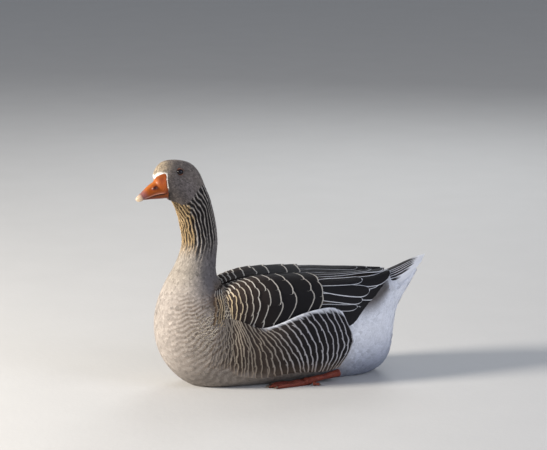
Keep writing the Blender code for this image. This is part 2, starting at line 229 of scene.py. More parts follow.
def body_marks(row, column):
    """The coat's colours over the body, from the station and the angle from the back, with a painted
    highlight on the brow and painted shade low on the face.
    """
    station, side = row / STATION_ROWS, fold_side(column)
    speck = ripple(row * .9, column * .8, 1.0) * .5 + .5
    behind = station - face_line(side)
    colour = blended(CROWN, CHEEK, ease(45, 95, side) * (1 - ease(6, 8, station)))
    # Painted highlight: the forehead is painted lighter and warmer.
    colour = blended(colour, BROW_PAINTED_HIGHLIGHT, (1 - ease(2.0, 3.4, station)) * (1 - ease(38, 62, side)))
    cloud = ripple(station * 4.5, side / 8, 3.0) + .8 * ripple(station * 9, side / 4.3, 6.0)
    cloudy = (.11 + .07 * (1 - ease(2.4, 4, station))) * (1 - ease(6, 8, station))
    colour = colour * (1 + cloudy * cloud)[..., None]
    # Lighter on the mid-cheek and darker just behind the bill, with painted shade over the lower face.
    tone_and_painted_shade = .26 * hump(station, 5, 1.1) * hump(side, 82, 28) - .42 * hump(behind, .3, .6) * ease(60, 80, side)
    tone_and_painted_shade = tone_and_painted_shade - .34 * ease(96, 122, side)
    colour = colour * (1 + tone_and_painted_shade * (1 - ease(6, 7, station)))[..., None]
    reach, soft = np.interp(side, [0, 30, 55, 68], [.52, .42, .2, .15]), np.interp(side, [38, 60], [.36, .16])
    white = 1 - ease(0, 1, (behind - reach) / soft)
    colour = blended(colour, FACE_WHITE, white * (1 - ease(94, 108, side)))
    ridge, strength = furrows(row, column)
    front = ease(112, 124, side + 7 * ripple(station * 2.6, side / 13, 4.0))
    # The grooves are darker partly in their own colour and partly as painted shade in the hollows.
    neck = blended(blended(NECK_GROOVE_TONE_AND_SHADE, NECK_GREY, ease(.62, .92, ridge)),
                   blended(NECK_BUFF_GROOVE_TONE_AND_SHADE, NECK_BUFF, ease(.34, .88, ridge)), front)
    colour = blended(colour, neck, ease(.02, .3, strength) * (1 - ease(9.6, 11, station)) + 0 * side)
    lower = blended(SHOULDER, LOWER_NECK, ease(60, 130, side))
    lower = blended(lower, neck, strength * .8)
    colour = blended(colour, lower, ease(9.4, 10.6, station))
    breast = blended(SHOULDER, BREAST, ease(58, 118, side))
    colour = blended(colour, breast, ease(12.5, 14, station))
    streaks = ease(13.2, 14.6, station + .3 * ripple(side / 14, 5.0)) * (1 - ease(17.5, 19.5, station))
    streaks = streaks * hump(side, 104, 36)
    fan = ease(.3, .8, .5 + .5 * np.sin(2 * np.pi * (4.4 * station + .35 * ripple(side / 6, station, 1.0))))
    colour = blended(colour, STREAK_BROWN, streaks * (.04 + .8 * fan))
    colour = blended(colour, MANTLE, mantle_share(station, side, 12.6, 48, 66))
    colour = blended(colour, RUMP, ease(20, 22, station) * (1 - ease(40, 70, side)))
    colour = blended(colour, WHITE, ease(19.6, 21, station) * ease(50, 75, side))
    colour = blended(colour, WHITE, ease(24, 25.4, station))
    return colour * (1 + .1 * (speck - .5))[..., None]


class Wire:
    """One output of a material's nodes. Sums written with it add the Math nodes they need."""

    def __init__(self, tree, socket=None):
        self.tree, self.socket = tree, socket

    def add(self, kind, inputs=(), output=0, stops=None, **settings):
        """Adds a node: its settings first, then the values or links of its sockets."""
        node = self.tree.nodes.new(kind)
        for name, value in settings.items():
            setattr(node, name, value)
        for index, (place, colour) in enumerate(stops or ()):
            ramp = node.color_ramp.elements
            stop = ramp[index] if index < 2 else ramp.new(place)
            stop.position, stop.color = place, colour
        for key, value in dict(inputs).items():
            if isinstance(value, Wire):
                self.tree.links.new(value.socket, node.inputs[key])
            else:
                node.inputs[key].default_value = (*value, 1) if isinstance(value, np.ndarray) else value
        return Wire(self.tree, node.outputs[output])

    def maths(self, operation, first, second=0.0):
        return self.add("ShaderNodeMath", {0: first, 1: second}, operation=operation)

    def __add__(self, other):
        return self.maths("ADD", self, other)

    def __sub__(self, other):
        return self.maths("SUBTRACT", self, other)

    def __rsub__(self, other):
        return self.maths("SUBTRACT", other, self)

    def __mul__(self, other):
        return self.maths("MULTIPLY", self, other)

    def __truediv__(self, other):
        return self.maths("DIVIDE", self, other)

    __radd__, __rmul__ = __add__, __mul__

    def eased(self, low, high):
        """0 below low, 1 above high, with a smooth S between."""
        return self.add("ShaderNodeMapRange", {0: self, 1: low, 2: high}, interpolation_type="SMOOTHSTEP")

    def mixed(self, colour, other, share):
        return self.add("ShaderNodeMix", {0: share, 6: colour, 7: other}, output=2, data_type="RGBA")

    def noise(self, place, scale, detail=3.0):
        return self.add("ShaderNodeTexNoise", {0: place, "Scale": scale, "Detail": detail, "Roughness": .55})

    def place(self):
        return self.add("ShaderNodeTexCoord", output=3)

    def painted(self, layer="ground", output=0):
        """A colour that the mesh carries at its points, or with output 3 the number beside it."""
        return self.add("ShaderNodeAttribute", output=output, attribute_name=layer)


def finish(name, build, **constants):
    """A material: build is given a bare wire and returns colour, roughness and bump height, and
    the constants go straight onto the shader's own sockets."""
    material = bpy.data.materials.new(name)
    material.use_nodes = True
    tree = material.node_tree
    shader = tree.nodes["Principled BSDF"]
    colour, roughness, height, depth = build(Wire(tree))
    bump = Wire(tree).add("ShaderNodeBump", {"Height": height, "Distance": depth, "Strength": 1.0})
    for socket, wire in (("Base Color", colour), ("Roughness", roughness), ("Normal", bump)):
        tree.links.new(wire.socket, shader.inputs[socket])
    for socket, value in constants.items():
        shader.inputs[socket.replace("_", " ")].default_value = value
    return material


def down_finish(wire):
    """Fine down: the mesh's own colours with a soft mottle and a felted surface."""
    tint, place = wire.painted(), wire.place()
    mottle = wire.noise(place, 260.0)
    colour = wire.mixed(tint, wire.mixed(tint, np.array((.02, .017, .015)), .35), mottle)
    return colour, mottle * .2 + .7, wire.noise(place, 900.0), .0006


# The leg's colours are its own orange darkened as painted shade, that of the shadow under the flank.
LEG_ORANGE_SHADED, LEG_PALE_SHADED, LEG_DARK = paint(134, 52, 36), paint(156, 70, 46), paint(70, 26, 20)
LEG_BRIGHT = paint(206, 88, 46)                   # the colour the mesh carries; the scales have their own


def leg_finish(wire):
    """Bare scaly leg: small pebbled scales, darker in their grooves, with redder patches, all in colours
    darkened as painted shade.
    """
    place = wire.place()
    scales = wire.add("ShaderNodeTexVoronoi", {0: place, "Scale": 420.0}, feature="DISTANCE_TO_EDGE")
    groove = scales.eased(.0, .16)
    colour = wire.mixed(LEG_PALE_SHADED, LEG_ORANGE_SHADED, wire.noise(place, 45.0).eased(.35, .7))
    colour = wire.mixed(LEG_DARK, colour, groove * .75 + .25)
    return colour, wire.noise(place, 130.0) * .25 + .38, groove, .0005


def all_round(count):
    """That many angles, evenly spaced once round."""
    return np.linspace(0, 2 * np.pi, count, endpoint=False)


def shell(rings):
    """Points and faces of a closed shell: rings joined by four-sided faces, and each end closed
    round its middle point. A shell that comes out inside out is turned the right way."""
    rows, columns = rings.shape[:2]
    ends = np.stack([rings[0].mean(0), rings[-1].mean(0)])
    points = np.concatenate([rings.reshape(-1, 3), ends])
    r, c = np.meshgrid(np.arange(rows - 1), np.arange(columns), indexing="ij")
    n = (c + 1) % columns
    sides = np.stack([r * columns + c, r * columns + n, (r + 1) * columns + n, (r + 1) * columns + c], -1)
    ring = np.arange(columns)
    following = (ring + 1) % columns
    last = (rows - 1) * columns
    caps = np.concatenate([np.stack([0 * ring + rows * columns, following, ring], -1),
                           np.stack([0 * ring + rows * columns + 1, last + ring, last + following], -1)])
    quads = sides.reshape(-1, 4)
    a, b, c = np.moveaxis(points[np.concatenate([quads[:, :3], quads[:, [0, 2, 3]]])], 1, 0)
    volume = np.sum(a * np.cross(b, c))
    if volume < 0:
        quads, caps = quads[:, ::-1], caps[:, ::-1]
    return points, [*quads.tolist(), *caps.tolist()]


def painted_shell(rings, colours):
    """A closed shell with a colour for each of its points, and its material's number, the first."""
    return *shell(rings), np.concatenate([colours.reshape(-1, 3), colours[[0, -1], 0]]), 0


def joined_piece(name, shells, materials):
    """One object from several closed shells. Each shell brings its points in mm, its faces, its
    colours and the number of its material."""
    points, faces, colours, slots, start = [], [], [], [], 0
    for shell_points, shell_faces, shell_colours, slot in shells:
        points.append(shell_points * MM)
        faces += [[index + start for index in face] for face in shell_faces]
        colours.append(np.broadcast_to(shell_colours, shell_points.shape))
        slots.append(np.full(len(shell_faces), slot))
        start += len(shell_points)
    mesh = bpy.data.meshes.new(name)
    mesh.from_pydata(np.concatenate(points), [], faces)
    for material in materials:
        mesh.materials.append(material)
    mesh.polygons.foreach_set("material_index", np.concatenate(slots).astype(np.int32))
    mesh.polygons.foreach_set("use_smooth", np.ones(len(mesh.polygons), bool))
    tint = mesh.color_attributes.new("ground", "FLOAT_COLOR", "POINT")
    colours = np.pad(np.concatenate(colours), ((0, 0), (0, 1)), constant_values=1)
    tint.data.foreach_set("color", colours.ravel())
    mesh.update()
    piece = bpy.data.objects.new(name, mesh)
    bpy.context.scene.collection.objects.link(piece)
    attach(piece, "root")
    return piece


def mirrored(points):
    """The same points on the goose's other side."""
    return points * (1, -1, 1)


def shells_both_sides(rings, colour, slot=0):
    """A closed shell on the left and its mirror on the right, of one colour."""
    return [(*shell(side), colour, slot) for side in (rings, mirrored(rings))]


# The folded wing: rows of x, ridge out, z, fullest out, z, lower edge out, z
WING_ROWS = np.array([
    (-138, 46, 203, 80, 182, 98, 150), (-114, 52, 229, 97, 180, 104, 130), (-80, 57, 241, 101, 182, 102, 118),
    (-45, 60, 247, 103, 184, 101, 114), (19, 61, 248, 104, 190, 100, 122), (97, 57, 244, 98, 196, 94, 134),
    (160, 46, 238, 86, 196, 89, 137), (215, 29, 236, 63, 199, 64, 161), (250, 16, 235, 43, 210, 43, 189),
    (281, 6, 234, 20, 228, 20, 220)], float)
WING_START, WING_FRONT, WING_END, WING_LANES = -165, -138, 281, 24
# The flank: rows of x, top out, z, fullest out, z, low out, z
FLANK_ROWS = np.array([
    (-126, 103, 168, 110, 112, 97, 50), (-110, 105, 164, 112, 105, 95, 36), (-80, 107, 151, 114, 98, 92, 28),
    (-50, 108, 142, 117, 94, 91, 24), (-5, 109, 152, 119, 97, 92, 27), (41, 108, 168, 119, 101, 92, 30),
    (94, 102, 176, 115, 102, 89, 27), (125, 96, 172, 109, 100, 87, 31), (150, 90, 156, 102, 97, 88, 43),
    (166, 90, 126, 96, 94, 92, 66)], float)
FLANK_START, FLANK_FRONT, FLANK_END, FLANK_LANES = -200, -126, 166, 40


def rows_at(table, x):
    """The table's spline read at each x, which always grows along it."""
    fine = np.linspace(0, len(table) - 1, 3000)
    return spline(table, np.interp(x, spline(table, fine)[:, 0], fine))


part_rows, part_columns = np.meshgrid(np.arange(9 * STATION_ROWS, 22 * STATION_ROWS, 2),
                                      np.arange(4, 180, 2), indexing="ij")
body_part = outline.data[part_rows, part_columns].reshape(-1, 12)
part_marks = body_marks(part_rows, part_columns).reshape(-1, 3)
body_tree = KDTree(len(body_part))
for index, place in enumerate(body_part[:, :3]):
    body_tree.insert(place, index)
body_tree.balance()


def over_body(points):
    """How far each point stands out from the body's nearest place, the way out and the coat's
    colour there."""
    near = np.array([body_tree.find(place)[1] for place in points.reshape(-1, 3)])
    way = body_part[near, 3:6].reshape(points.shape)
    marks = part_marks[near].reshape(points.shape)
    return np.sum((points - body_part[near, :3].reshape(points.shape)) * way, -1), way, marks


def plate_form(x, control, lanes, laid_by):
    """A left-hand plate: a spline through each section's control points, out from the middle. Its
    front is laid down on the body over the given x, so that its feathers grow out of the breast's."""
    parts = control.shape[0] - 1
    curve = spline(control, np.linspace(0, parts, parts * lanes + 1)).transpose(1, 0, 2)
    points = np.stack([np.broadcast_to(x[:, None], curve.shape[:2]), -curve[..., 0], curve[..., 1]], -1)
    front = x < laid_by[1]
    stands, way, _ = over_body(points[front])
    share = 1 - ease(*laid_by, x[front])[:, None]
    points[front] -= way * ((stands - .3) * share)[..., None]
    return Form(points)


def wing_control(x):
    """Over the back to the ridge, round the shoulder to the fullest part and down to the edge."""
    row = rows_at(WING_ROWS, np.maximum(x, WING_FRONT))
    ridge, full, edge = row[:, 1:3], row[:, 3:5], row[:, 5:7]
    root = np.stack([np.minimum(2.5, .4 * ridge[:, 0]), ridge[:, 1] - 9], -1)
    crest = np.stack([.5 * ridge[:, 0], ridge[:, 1] - 2], -1)
    shoulder = ridge * (.38, .66) + full * (.62, .34) + (3, 0)
    return np.stack([root, crest, ridge, shoulder, full, edge])


wing_x = np.arange(WING_START, WING_END + 1.0)
wing = plate_form(wing_x, wing_control(wing_x), WING_LANES, (-140, -108))
flank_x = np.arange(FLANK_START, FLANK_END + 1.0)
flank_row = rows_at(FLANK_ROWS, np.maximum(flank_x, FLANK_FRONT))
flank = plate_form(flank_x, np.stack([flank_row[:, 1:3], flank_row[:, 3:5], flank_row[:, 5:7]]), FLANK_LANES,
                   (-128, -92))

# The folded tail: rows of x, top z, half width, how far its sides hang
TAIL_ROWS = np.array([(262, 224, 42, 34), (285, 233, 45, 42), (305, 240, 40, 36), (325, 248, 32, 27),
                      (343, 254, 25, 17), (355, 258, 19, 11), (373, 262, 11, 4)], float)
TAIL_LANES = 20
tail_x = np.arange(262.0, 374)
tail_row = rows_at(TAIL_ROWS, tail_x)
tail_out = np.linspace(-1, 1, 2 * TAIL_LANES + 1)
tail = Form(np.stack([np.broadcast_to(tail_x[:, None], (len(tail_x), len(tail_out))),
                      -tail_out * tail_row[:, 2:3], tail_row[:, 1:2] - tail_row[:, 3:4] * tail_out ** 2], -1))

# The coat's depth in mm at some stations. Where the bill covers the face, the hide lies deeper.
COAT_DEPTH = ([0, 1, 4.5, 6, 8, 10, 12, 14, 18, 24, 26, 28], [1, 1.5, 2, 3, 5, 5.5, 6, 7.5, 8, 7, 6, 5])
BILL_TUCK = 5
side_grid = fold_side(np.degrees(angle_grid))
bare_face = 1 - ease(-.45, -.02, station_grid - face_line(side_grid))
skin_depth = np.interp(station_grid, *COAT_DEPTH) + BILL_TUCK * bare_face
hide = outline.points - outline.normal * skin_depth[..., None]
hide_marks = body_marks(station_grid * STATION_ROWS, np.degrees(angle_grid))[::4, ::4].reshape(-1, 3)
hide_marks = np.concatenate([hide_marks, np.stack([CROWN, WHITE])])
down, bare_leg = finish("down", down_finish), finish("leg_scales", leg_finish, Specular_IOR_Level=.45)
skin_shells = [(*shell(hide[::4, ::4]), hide_marks * .92, 0)]


def plate_shell(form, rows, columns, outer, thick):
    """A thin plate under a form: its outer face a little inside, and its inner face further in."""
    points, normal = form.points[rows, columns], form.normal[rows, columns]
    top, under = points - normal * outer, points - normal * (outer + thick)
    ring = np.concatenate([top, under[:, ::-1]], 1)
    ring[..., 1] = np.minimum(ring[..., 1], -.6)
    return ring


skin_shells += shells_both_sides(plate_shell(wing, slice(52, 427, 6), slice(6, 112, 5), 6, 6), MANTLE * .7)
skin_shells += shells_both_sides(plate_shell(flank, slice(100, 358, 6), slice(4, 78, 5), 7, 6),
                                 STREAK_BROWN * .5)
tail_bed, tail_way = tail.points[2:86:4, 3:-3:2], tail.normal[2:86:4, 3:-3:2]
tail_wedge = np.concatenate([tail_bed - tail_way * 5.5, (tail_bed - tail_way * 8.5)[:, ::-1]], 1)
skin_shells.append((*shell(tail_wedge), WHITE * .85, 0))

# Legs: the shank from hock to ankle, three webbed toes and a short hind toe, lying flat
HOCK, ANKLE = np.array((139, -80, 20.0)), np.array((60, -88, 7.6))
TOE_TIPS = np.array([(-18, -70, 4.2), (-32, -89, 4.2), (-18, -106, 4.2)])
HIND_TOE_ROOT, HIND_TOE_TIP = np.array((68, -101, 5.0)), np.array((81, -109, 4.0))
TARSUS_RADIUS, TOE_RADIUS, WEB_THICKNESS, WEB_REACH = 7.0, 4.1, 2.4, .84
ON_FLOOR = .1                                     # how high the soles lie


def limb(start, end, first, last, count, around=20, scute=0.0, blunt=40.0):
    """Rings of a straight tapered limb, swollen at both joints, ringed by low scutes. The greater
    blunt is, the later its ends round over."""
    t = (.5 - .5 * np.cos(np.linspace(0, np.pi, count)))[:, None]
    axis = (end - start) / np.linalg.norm(end - start)
    side = np.cross(axis, (0, 0, 1))
    side /= np.linalg.norm(side)
    over = np.cross(side, axis)
    radius = (first + (last - first) * t) * (1 + .16 * np.cos(2 * np.pi * t) ** 3)
    angle = all_round(around)[None, :]
    radius = radius - scute * np.abs(np.sin(np.pi * t * count / 4)) ** .5 * (.5 + .5 * np.sin(angle))
    radius = radius * np.sqrt(np.maximum(1 - np.abs(2 * t - 1) ** blunt, .02))
    centre = (start + (end - start) * t)[:, None, :]
    rings = centre + (radius * np.cos(angle))[..., None] * side + (radius * np.sin(angle))[..., None] * over
    rings[..., 2] = np.maximum(rings[..., 2], ON_FLOOR)
    return rings


def foot_shell(count=60):
    """Rings across the foot: three toes with knuckles and scutes, and thin rippled webs between."""
    part = np.linspace(0, 2, 41)
    nearest = np.round(part)
    off = part - nearest                          # -.5 to .5 from the middle of the nearest toe
    on_toe = np.clip(np.abs(off) / .25, 0, 1)     # 0 on the toe's middle, 1 at its side
    start = np.stack([ANKLE + (0, (1 - k) * 7, 0) for k in range(3)])
    t = np.linspace(0, 1, count)[:, None]
    low, high = np.floor(part).astype(int), np.ceil(part).astype(int)
    share = (part - low)[:, None]
    toe = nearest.astype(int)
    web_first = start[low] * (1 - share) + start[high] * share
    web_last = TOE_TIPS[low] * (1 - share) + TOE_TIPS[high] * share
    is_web = np.abs(off) > .25
    between = (np.abs(off) - .25) / .25           # 0 at the toe's side, 1 in the middle of the web
    dip = 1 - (1 - WEB_REACH) * np.clip(between, 0, 1) ** .7
    reach = np.where(is_web, dip, 1.0)[None, :]
    half = 3.4 + (TOE_RADIUS - 3.4) * ease(0, .4, t)
    toe_line = start[toe] + (TOE_TIPS[toe] - start[toe]) * t[..., None]
    toe_line[..., 1] -= np.clip(off / .25, -1, 1) * half
    web_line = web_first + (web_last - web_first) * (t * reach)[..., None]
    points = np.where(is_web[None, :, None], web_line, toe_line)
    tall = 2 * TARSUS_RADIUS + (2 * TOE_RADIUS - 2 * TARSUS_RADIUS) * ease(0, .5, t)
    tall = tall * (1 + .08 * np.cos(6 * np.pi * t)) * (1 - .45 * ease(.86, 1, t))
    tall = tall - .35 * np.abs(np.sin(np.pi * t * 15)) ** .5
    web = WEB_THICKNESS + (tall * .7 - WEB_THICKNESS) * (1 - ease(0, .3, t))
    web = web + .5 * ease(.2, .5, t) * np.sin(part * 40)[None, :]
    crown = tall * np.sqrt(1 - (on_toe * .98) ** 2)
    top = np.where(is_web, web, np.maximum(web, crown))
    upper = np.stack([points[..., 0], points[..., 1], top], -1)
    under = np.stack([points[..., 0], points[..., 1], ON_FLOOR + 0 * top], -1)
    return np.concatenate([upper, under[:, ::-1]], 1)


shank = limb(HOCK, ANKLE - (4, 0, 0), TARSUS_RADIUS * 1.12, TARSUS_RADIUS, 60, scute=.5)
ankle = limb(ANKLE + (11, 0, .6), ANKLE - (12, 0, 0), 9.4, 9.4, 24, around=28, blunt=2.4)
hind_toe = limb(HIND_TOE_ROOT, HIND_TOE_TIP, TOE_RADIUS, TOE_RADIUS * .7, 14, scute=.25)
for limb_rings in (shank, foot_shell(), ankle, hind_toe):
    skin_shells += shells_both_sides(limb_rings, LEG_BRIGHT, 1)
skin = joined_piece("skin", skin_shells, [down, bare_leg])
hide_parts("head", "neck_upper", "neck_lower", "trunk", "flank_left", "flank_right", "wing_left",
            "wing_right", "tail", "shank_left", "shank_right", "foot_left", "foot_right",
            "hind_toe_left", "hind_toe_right")

# ---------------------------------------------------------------------------------------------
# The soft body feathers: head, neck, breast, belly, back and vent. Each is a small cupped vane
# rooted in the hide, lying back over the next. They are strewn evenly, smallest on the face.
# ---------------------------------------------------------------------------------------------
luck = np.random.default_rng(41)
# Places along a feather and across it, and how wide it is at each, as shares
SMALL_LEVELS, SMALL_LANES = np.array([0, .3, .58, .8, .93, 1]), np.array([-1, 0, 1.0])
SMALL_SHAPE = np.array([.5, .86, 1, .88, .6, .2])


def vane_finish(barbs, gloss=.66, shaft=.0, split=.25, cloud=.3, fade=.0):
    """A feather: its own two colours, the second along its edge, fine slanted barbs, and a shaft.
    The edge's colour fades from the sides back from the tip, the sooner the larger fade is."""
    def build(wire):
        vane = wire.add("ShaderNodeUVMap", uv_map="vane")
        across = wire.add("ShaderNodeSeparateXYZ", {0: vane})
        along = wire.add("ShaderNodeSeparateXYZ", {0: vane}, output=1)
        off = wire.maths("ABSOLUTE", across - .5) * 2.0
        place = wire.place()
        waver = (wire.noise(place, 420.0) - .5) * .7
        to_tip = (1 - along) / wire.painted("ground", 3) + waver
        to_side = (1 - off) / wire.painted("rim", 3) + (1 - along) * fade + waver
        edge = 1 - wire.maths("MINIMUM", to_tip, to_side).eased(.7, 1.15)
        mottle = wire.noise(place, 150.0)
        colour = wire.mixed(wire.painted("ground"), wire.painted("rim"), edge)
        dark = wire.mixed(colour, np.array((.012, .01, .01)), .5)
        barb = wire.maths("SINE", (along - off * .28) * (barbs * 6.283)) * .5 + .5
        colour = wire.mixed(colour, dark, mottle.eased(.25, .8) * cloud + barb * split)
        if shaft:
            colour = wire.mixed(colour, dark, (1 - off.eased(.015, .06)) * shaft)
        return colour, mottle * .15 + gloss, barb, .00007
    return build


def ahead_of(normal, along, heading):
    """The way a feather points: the form's own way along, turned by its heading within the surface."""
    forward = along / (np.linalg.norm(along, axis=-1, keepdims=True) + 1e-9)
    return forward * np.cos(heading)[..., None] + np.cross(normal, forward) * np.sin(heading)[..., None]


def laid(form, row, column, heading, length, width):
    """Walks each feather's shaft over the form from its root, then steps sideways to its lanes.
    Returns the rows and columns that its grid of points lies over."""
    walked = [(row, column)]
    for gap in np.diff(SMALL_LEVELS):
        _, normal, along, across = form.read(row, column)
        move = ahead_of(normal, along, heading) * (length * gap)[:, None]
        more_rows, more_columns = form.step(along, across, move)
        row, column = row + more_rows, column + more_columns
        walked.append((row, column))
    rows, columns = np.stack(walked, -1)
    _, normal, along, across = form.read(rows, columns)
    forward = ahead_of(normal, along, heading[:, None] + 0 * rows)
    side = np.cross(forward, normal)
    reach = (width[:, None] / 2 * SMALL_SHAPE)[..., None] * SMALL_LANES
    move = side[:, :, None, :] * reach[..., None]
    more_rows, more_columns = form.step(along[:, :, None, :], across[:, :, None, :], move)
    return rows[..., None] + more_rows, columns[..., None] + more_columns


def pair(values, last):
    """A colour for every point, with one more number beside it."""
    last = np.broadcast_to(np.asarray(last, float)[:, None, None, None], (*values.shape[:-1], 1))
    return np.concatenate([values, last], -1)


def feather_piece(name, points, ground, rim, tip_width, side_width, cells, cell_size, material, slot,
                  levels=SMALL_LEVELS, lanes=SMALL_LANES):
    """A joined mesh of closed feathers: a curved upper face, a flat underside between its edges,
    and its two ends. points are feathers by levels by lanes, in mm; the widths of the rim's colour
    at the tip and the sides are shares of each feather, and cells are its place on the OFBake map."""
    n, m, k = points.shape[:3]
    grid = np.arange(m * k).reshape(m, k)
    upper = np.stack([grid[:-1, :-1], grid[:-1, 1:], grid[1:, 1:], grid[1:, :-1]], -1).reshape(-1, 4)
    under = np.stack([grid[:-1, 0], grid[1:, 0], grid[1:, -1], grid[:-1, -1]], -1)
    faces = np.concatenate([upper, under])
    ends = np.stack([grid[0, ::-1], grid[-1]])
    loops = np.concatenate([faces.ravel(), ends.ravel()])
    sizes = np.concatenate([np.full(len(faces), 4), np.full(2, k)])
    smooth = np.arange(len(sizes)) < len(upper)
    outer = np.pad(np.zeros((m - 2, k - 2), bool), 1, constant_values=True).ravel()
    vane = np.stack(np.broadcast_arrays(lanes[None, :] * .5 + .5, levels[:, None]), -1)
    mesh = bpy.data.meshes.new(name)
    mesh.vertices.add(n * m * k)
    mesh.vertices.foreach_set("co", (points * MM).astype(np.float32).ravel())
    every_loop = (loops[None, :] + np.arange(n)[:, None] * m * k).ravel()
    mesh.loops.add(len(every_loop))
    mesh.loops.foreach_set("vertex_index", every_loop.astype(np.int32))
    every_size = np.tile(sizes, n)
    mesh.polygons.add(len(every_size))
    mesh.polygons.foreach_set("loop_start", (np.cumsum(every_size) - every_size).astype(np.int32))
    mesh.polygons.foreach_set("use_smooth", np.tile(smooth, n))
    on_map = cells[:, None, None, :] + (vane - .5) * np.broadcast_to(cell_size, 2)
    for layer, place in (("vane", np.tile(vane.reshape(-1, 2), (n, 1))), ("OFBake", on_map.reshape(-1, 2))):
        uv = mesh.uv_layers.new(name=layer)
        uv.data.foreach_set("uv", place[every_loop].astype(np.float32).ravel())
    for layer, values in (("ground", pair(ground, tip_width)), ("rim", pair(rim, side_width))):
        tint = mesh.color_attributes.new(layer, "FLOAT_COLOR", "POINT")
        tint.data.foreach_set("color", values.astype(np.float32).ravel())
    mesh.update(calc_edges=True)
    ends_at = np.empty(2 * len(mesh.edges), np.int32)
    mesh.edges.foreach_get("vertices", ends_at)
    mesh.edges.foreach_set("use_edge_sharp", outer[ends_at.reshape(-1, 2) % (m * k)].all(1))
    mesh.materials.append(material)
    piece = bpy.data.objects.new(name, mesh)
    bpy.context.scene.collection.objects.link(piece)
    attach(piece, "root")


def strewn(form, gap, crowd=5):
    """Roots spread over a form so that none is nearer another than the gap at its place: many
    are tried, each where the surface has room for more, and a tried one near a kept one goes."""
    weight = np.where(gap > 0, form.area / np.maximum(gap, .1) ** 2, 0)
    tries = int(weight.sum() * crowd)
    cell = luck.choice(weight.size, tries, p=weight.ravel() / weight.sum())
    row, column = np.divmod(cell, weight.shape[1])
    row, column = row + luck.random(tries) - .5, column + luck.random(tries) - .5
    places = form.read(row, column)[0]
    near_row = np.clip(row.round().astype(int), 0, gap.shape[0] - 1)
    near = np.maximum(gap[near_row, column.round().astype(int) % gap.shape[1]], gap.ravel()[cell])
    tree = KDTree(tries)
    for index, place in enumerate(places):
        tree.insert(place, index)
    tree.balance()
    free = np.ones(tries, bool)
    kept = []
    for index in range(tries):
        if free[index]:
            kept.append(index)
            for _, other, _ in tree.find_range(places[index], near[index]):
                free[other] = False
    return row[kept], column[kept]


EYE_CENTRE, EYE_RADIUS = np.array((-218.8, -19.2, 487.4)), 8.2
EYE_BARE = (9.9, 8.5)                             # half the length and height left free of feathers
FURROW_DEPTH = 3.6
station, side = station_grid, side_grid
ridge, furrow_strength = furrows(station_grid * STATION_ROWS, np.degrees(angle_grid))
carved = (FURROW_DEPTH * (1 - ridge) * furrow_strength)[..., None]
coat = Form(outline.points - outline.normal * carved, closed=True)
px, _, pz = np.moveaxis(coat.points, -1, 0)

# Gap between roots, and feather length and width, in mm, against the station
SIZES = np.array([  # station, gap, length, width
    (0, 1.4, 4, 2.5), (2, 1.6, 4.8, 2.8), (4, 1.8, 6.4, 3.3), (6, 2.1, 9.5, 3.3), (8, 2.3, 15, 2.9),
    (10.5, 2.7, 15, 4.6), (12, 3.4, 15, 7.5), (14, 4.3, 18, 10), (17, 4.9, 21, 12), (20, 5.2, 24, 12.5),
    (22, 4.6, 26, 9), (25, 4, 26, 7.5), (26.5, 3.6, 30, 7), (28, 3.2, 34, 7)])
gap = np.interp(station, SIZES[:, 0], SIZES[:, 1])
gap *= np.where((station > 12) & (side > 172), 1.3, 1)       # fewer under the belly
bare = station - face_line(side) < .02
under_wing = (station > 16.5) & (station < 20.2) & (side > 30) & (side < 78)
flank_lane = np.clip((168 - pz) / 118, 0, 1)
flank_foot = np.interp(px, [-170, -115, -80], [60, 54, 40])
flank_zone = (px > -126 - 42 * flank_lane) & (pz < 172) & (station < 19.4) & (pz > flank_foot) & (side > 40)
wing_zone = (px > -130) & (pz > 150) & (station > 13.2) & (station < 20.2) & (side < 80)
tail_foot = np.interp(px, [256, 262, 285, 305, 325, 343], [260, 197, 203, 213, 226, 237])
under_tail = (px > 256) & (pz > tail_foot)
gap[bare | under_wing | flank_zone | wing_zone | under_tail] = 0
gap[-5:] = 0
root_row, root_column = strewn(coat, gap)
root_station = root_row / STATION_ROWS
length = np.interp(root_station, SIZES[:, 0], SIZES[:, 2]) * luck.uniform(.85, 1.15, len(root_row))
width = np.interp(root_station, SIZES[:, 0], SIZES[:, 3]) * luck.uniform(.85, 1.15, len(root_row))
near_line = 1 - ease(0, .6, root_station - face_line(fold_side(root_column)))
length, width = length * (1 - .35 * near_line), width * (1 - .3 * near_line)
heading = luck.normal(0, .1, len(root_row)) * np.interp(root_station, [0, 6, 8, 12, 28], [1, .8, .35, 1, 1.3])
rows, columns = laid(coat, root_row, root_column, heading, length, width)
place, normal = coat.read(rows, columns)[:2]
from_eye = []
for sign in (1, -1):
    centre = turned(EYE_CENTRE * (1, sign, 1), 1)
    off = place[:, :, 1, :] - centre
    round_eye = np.hypot(off[..., 0] / EYE_BARE[0], off[..., 2] / EYE_BARE[1])
    from_eye.append(np.where(off[..., 1] * -sign > -6, round_eye, 9))
keep = np.minimum(*from_eye).min(1) > 1
depth = np.interp(rows[:, :1, 1] / STATION_ROWS, *COAT_DEPTH)[..., None] * .9
thin = np.minimum(.3 * depth, 1.7)
levels = SMALL_LEVELS[None, :, None]
smooth = ease(9.5, 12.5, root_station)[:, None, None]
thin = thin * (1 - .45 * smooth)
lift = (-thin * (1 - levels) ** 1.3 - (depth - thin) * np.maximum(1 - levels / .3, 0) ** 2
        - (.12 + .022 * width[:, None, None]) * (1 - .72 * smooth) * SMALL_LANES ** 2)
lift = lift + luck.normal(0, .09, (len(root_row), 1, 1)) * np.minimum(depth, 4) / 2 * (1 - .7 * smooth)
fluff = ease(20, 23, root_station)[:, None, None] * luck.uniform(-.5, 1.5, (len(root_row), 1, 1)) * 1.5
lift = lift + fluff * levels ** 2
place = place + normal * lift[..., None]
place[..., 2] = np.maximum(place[..., 2], .2)
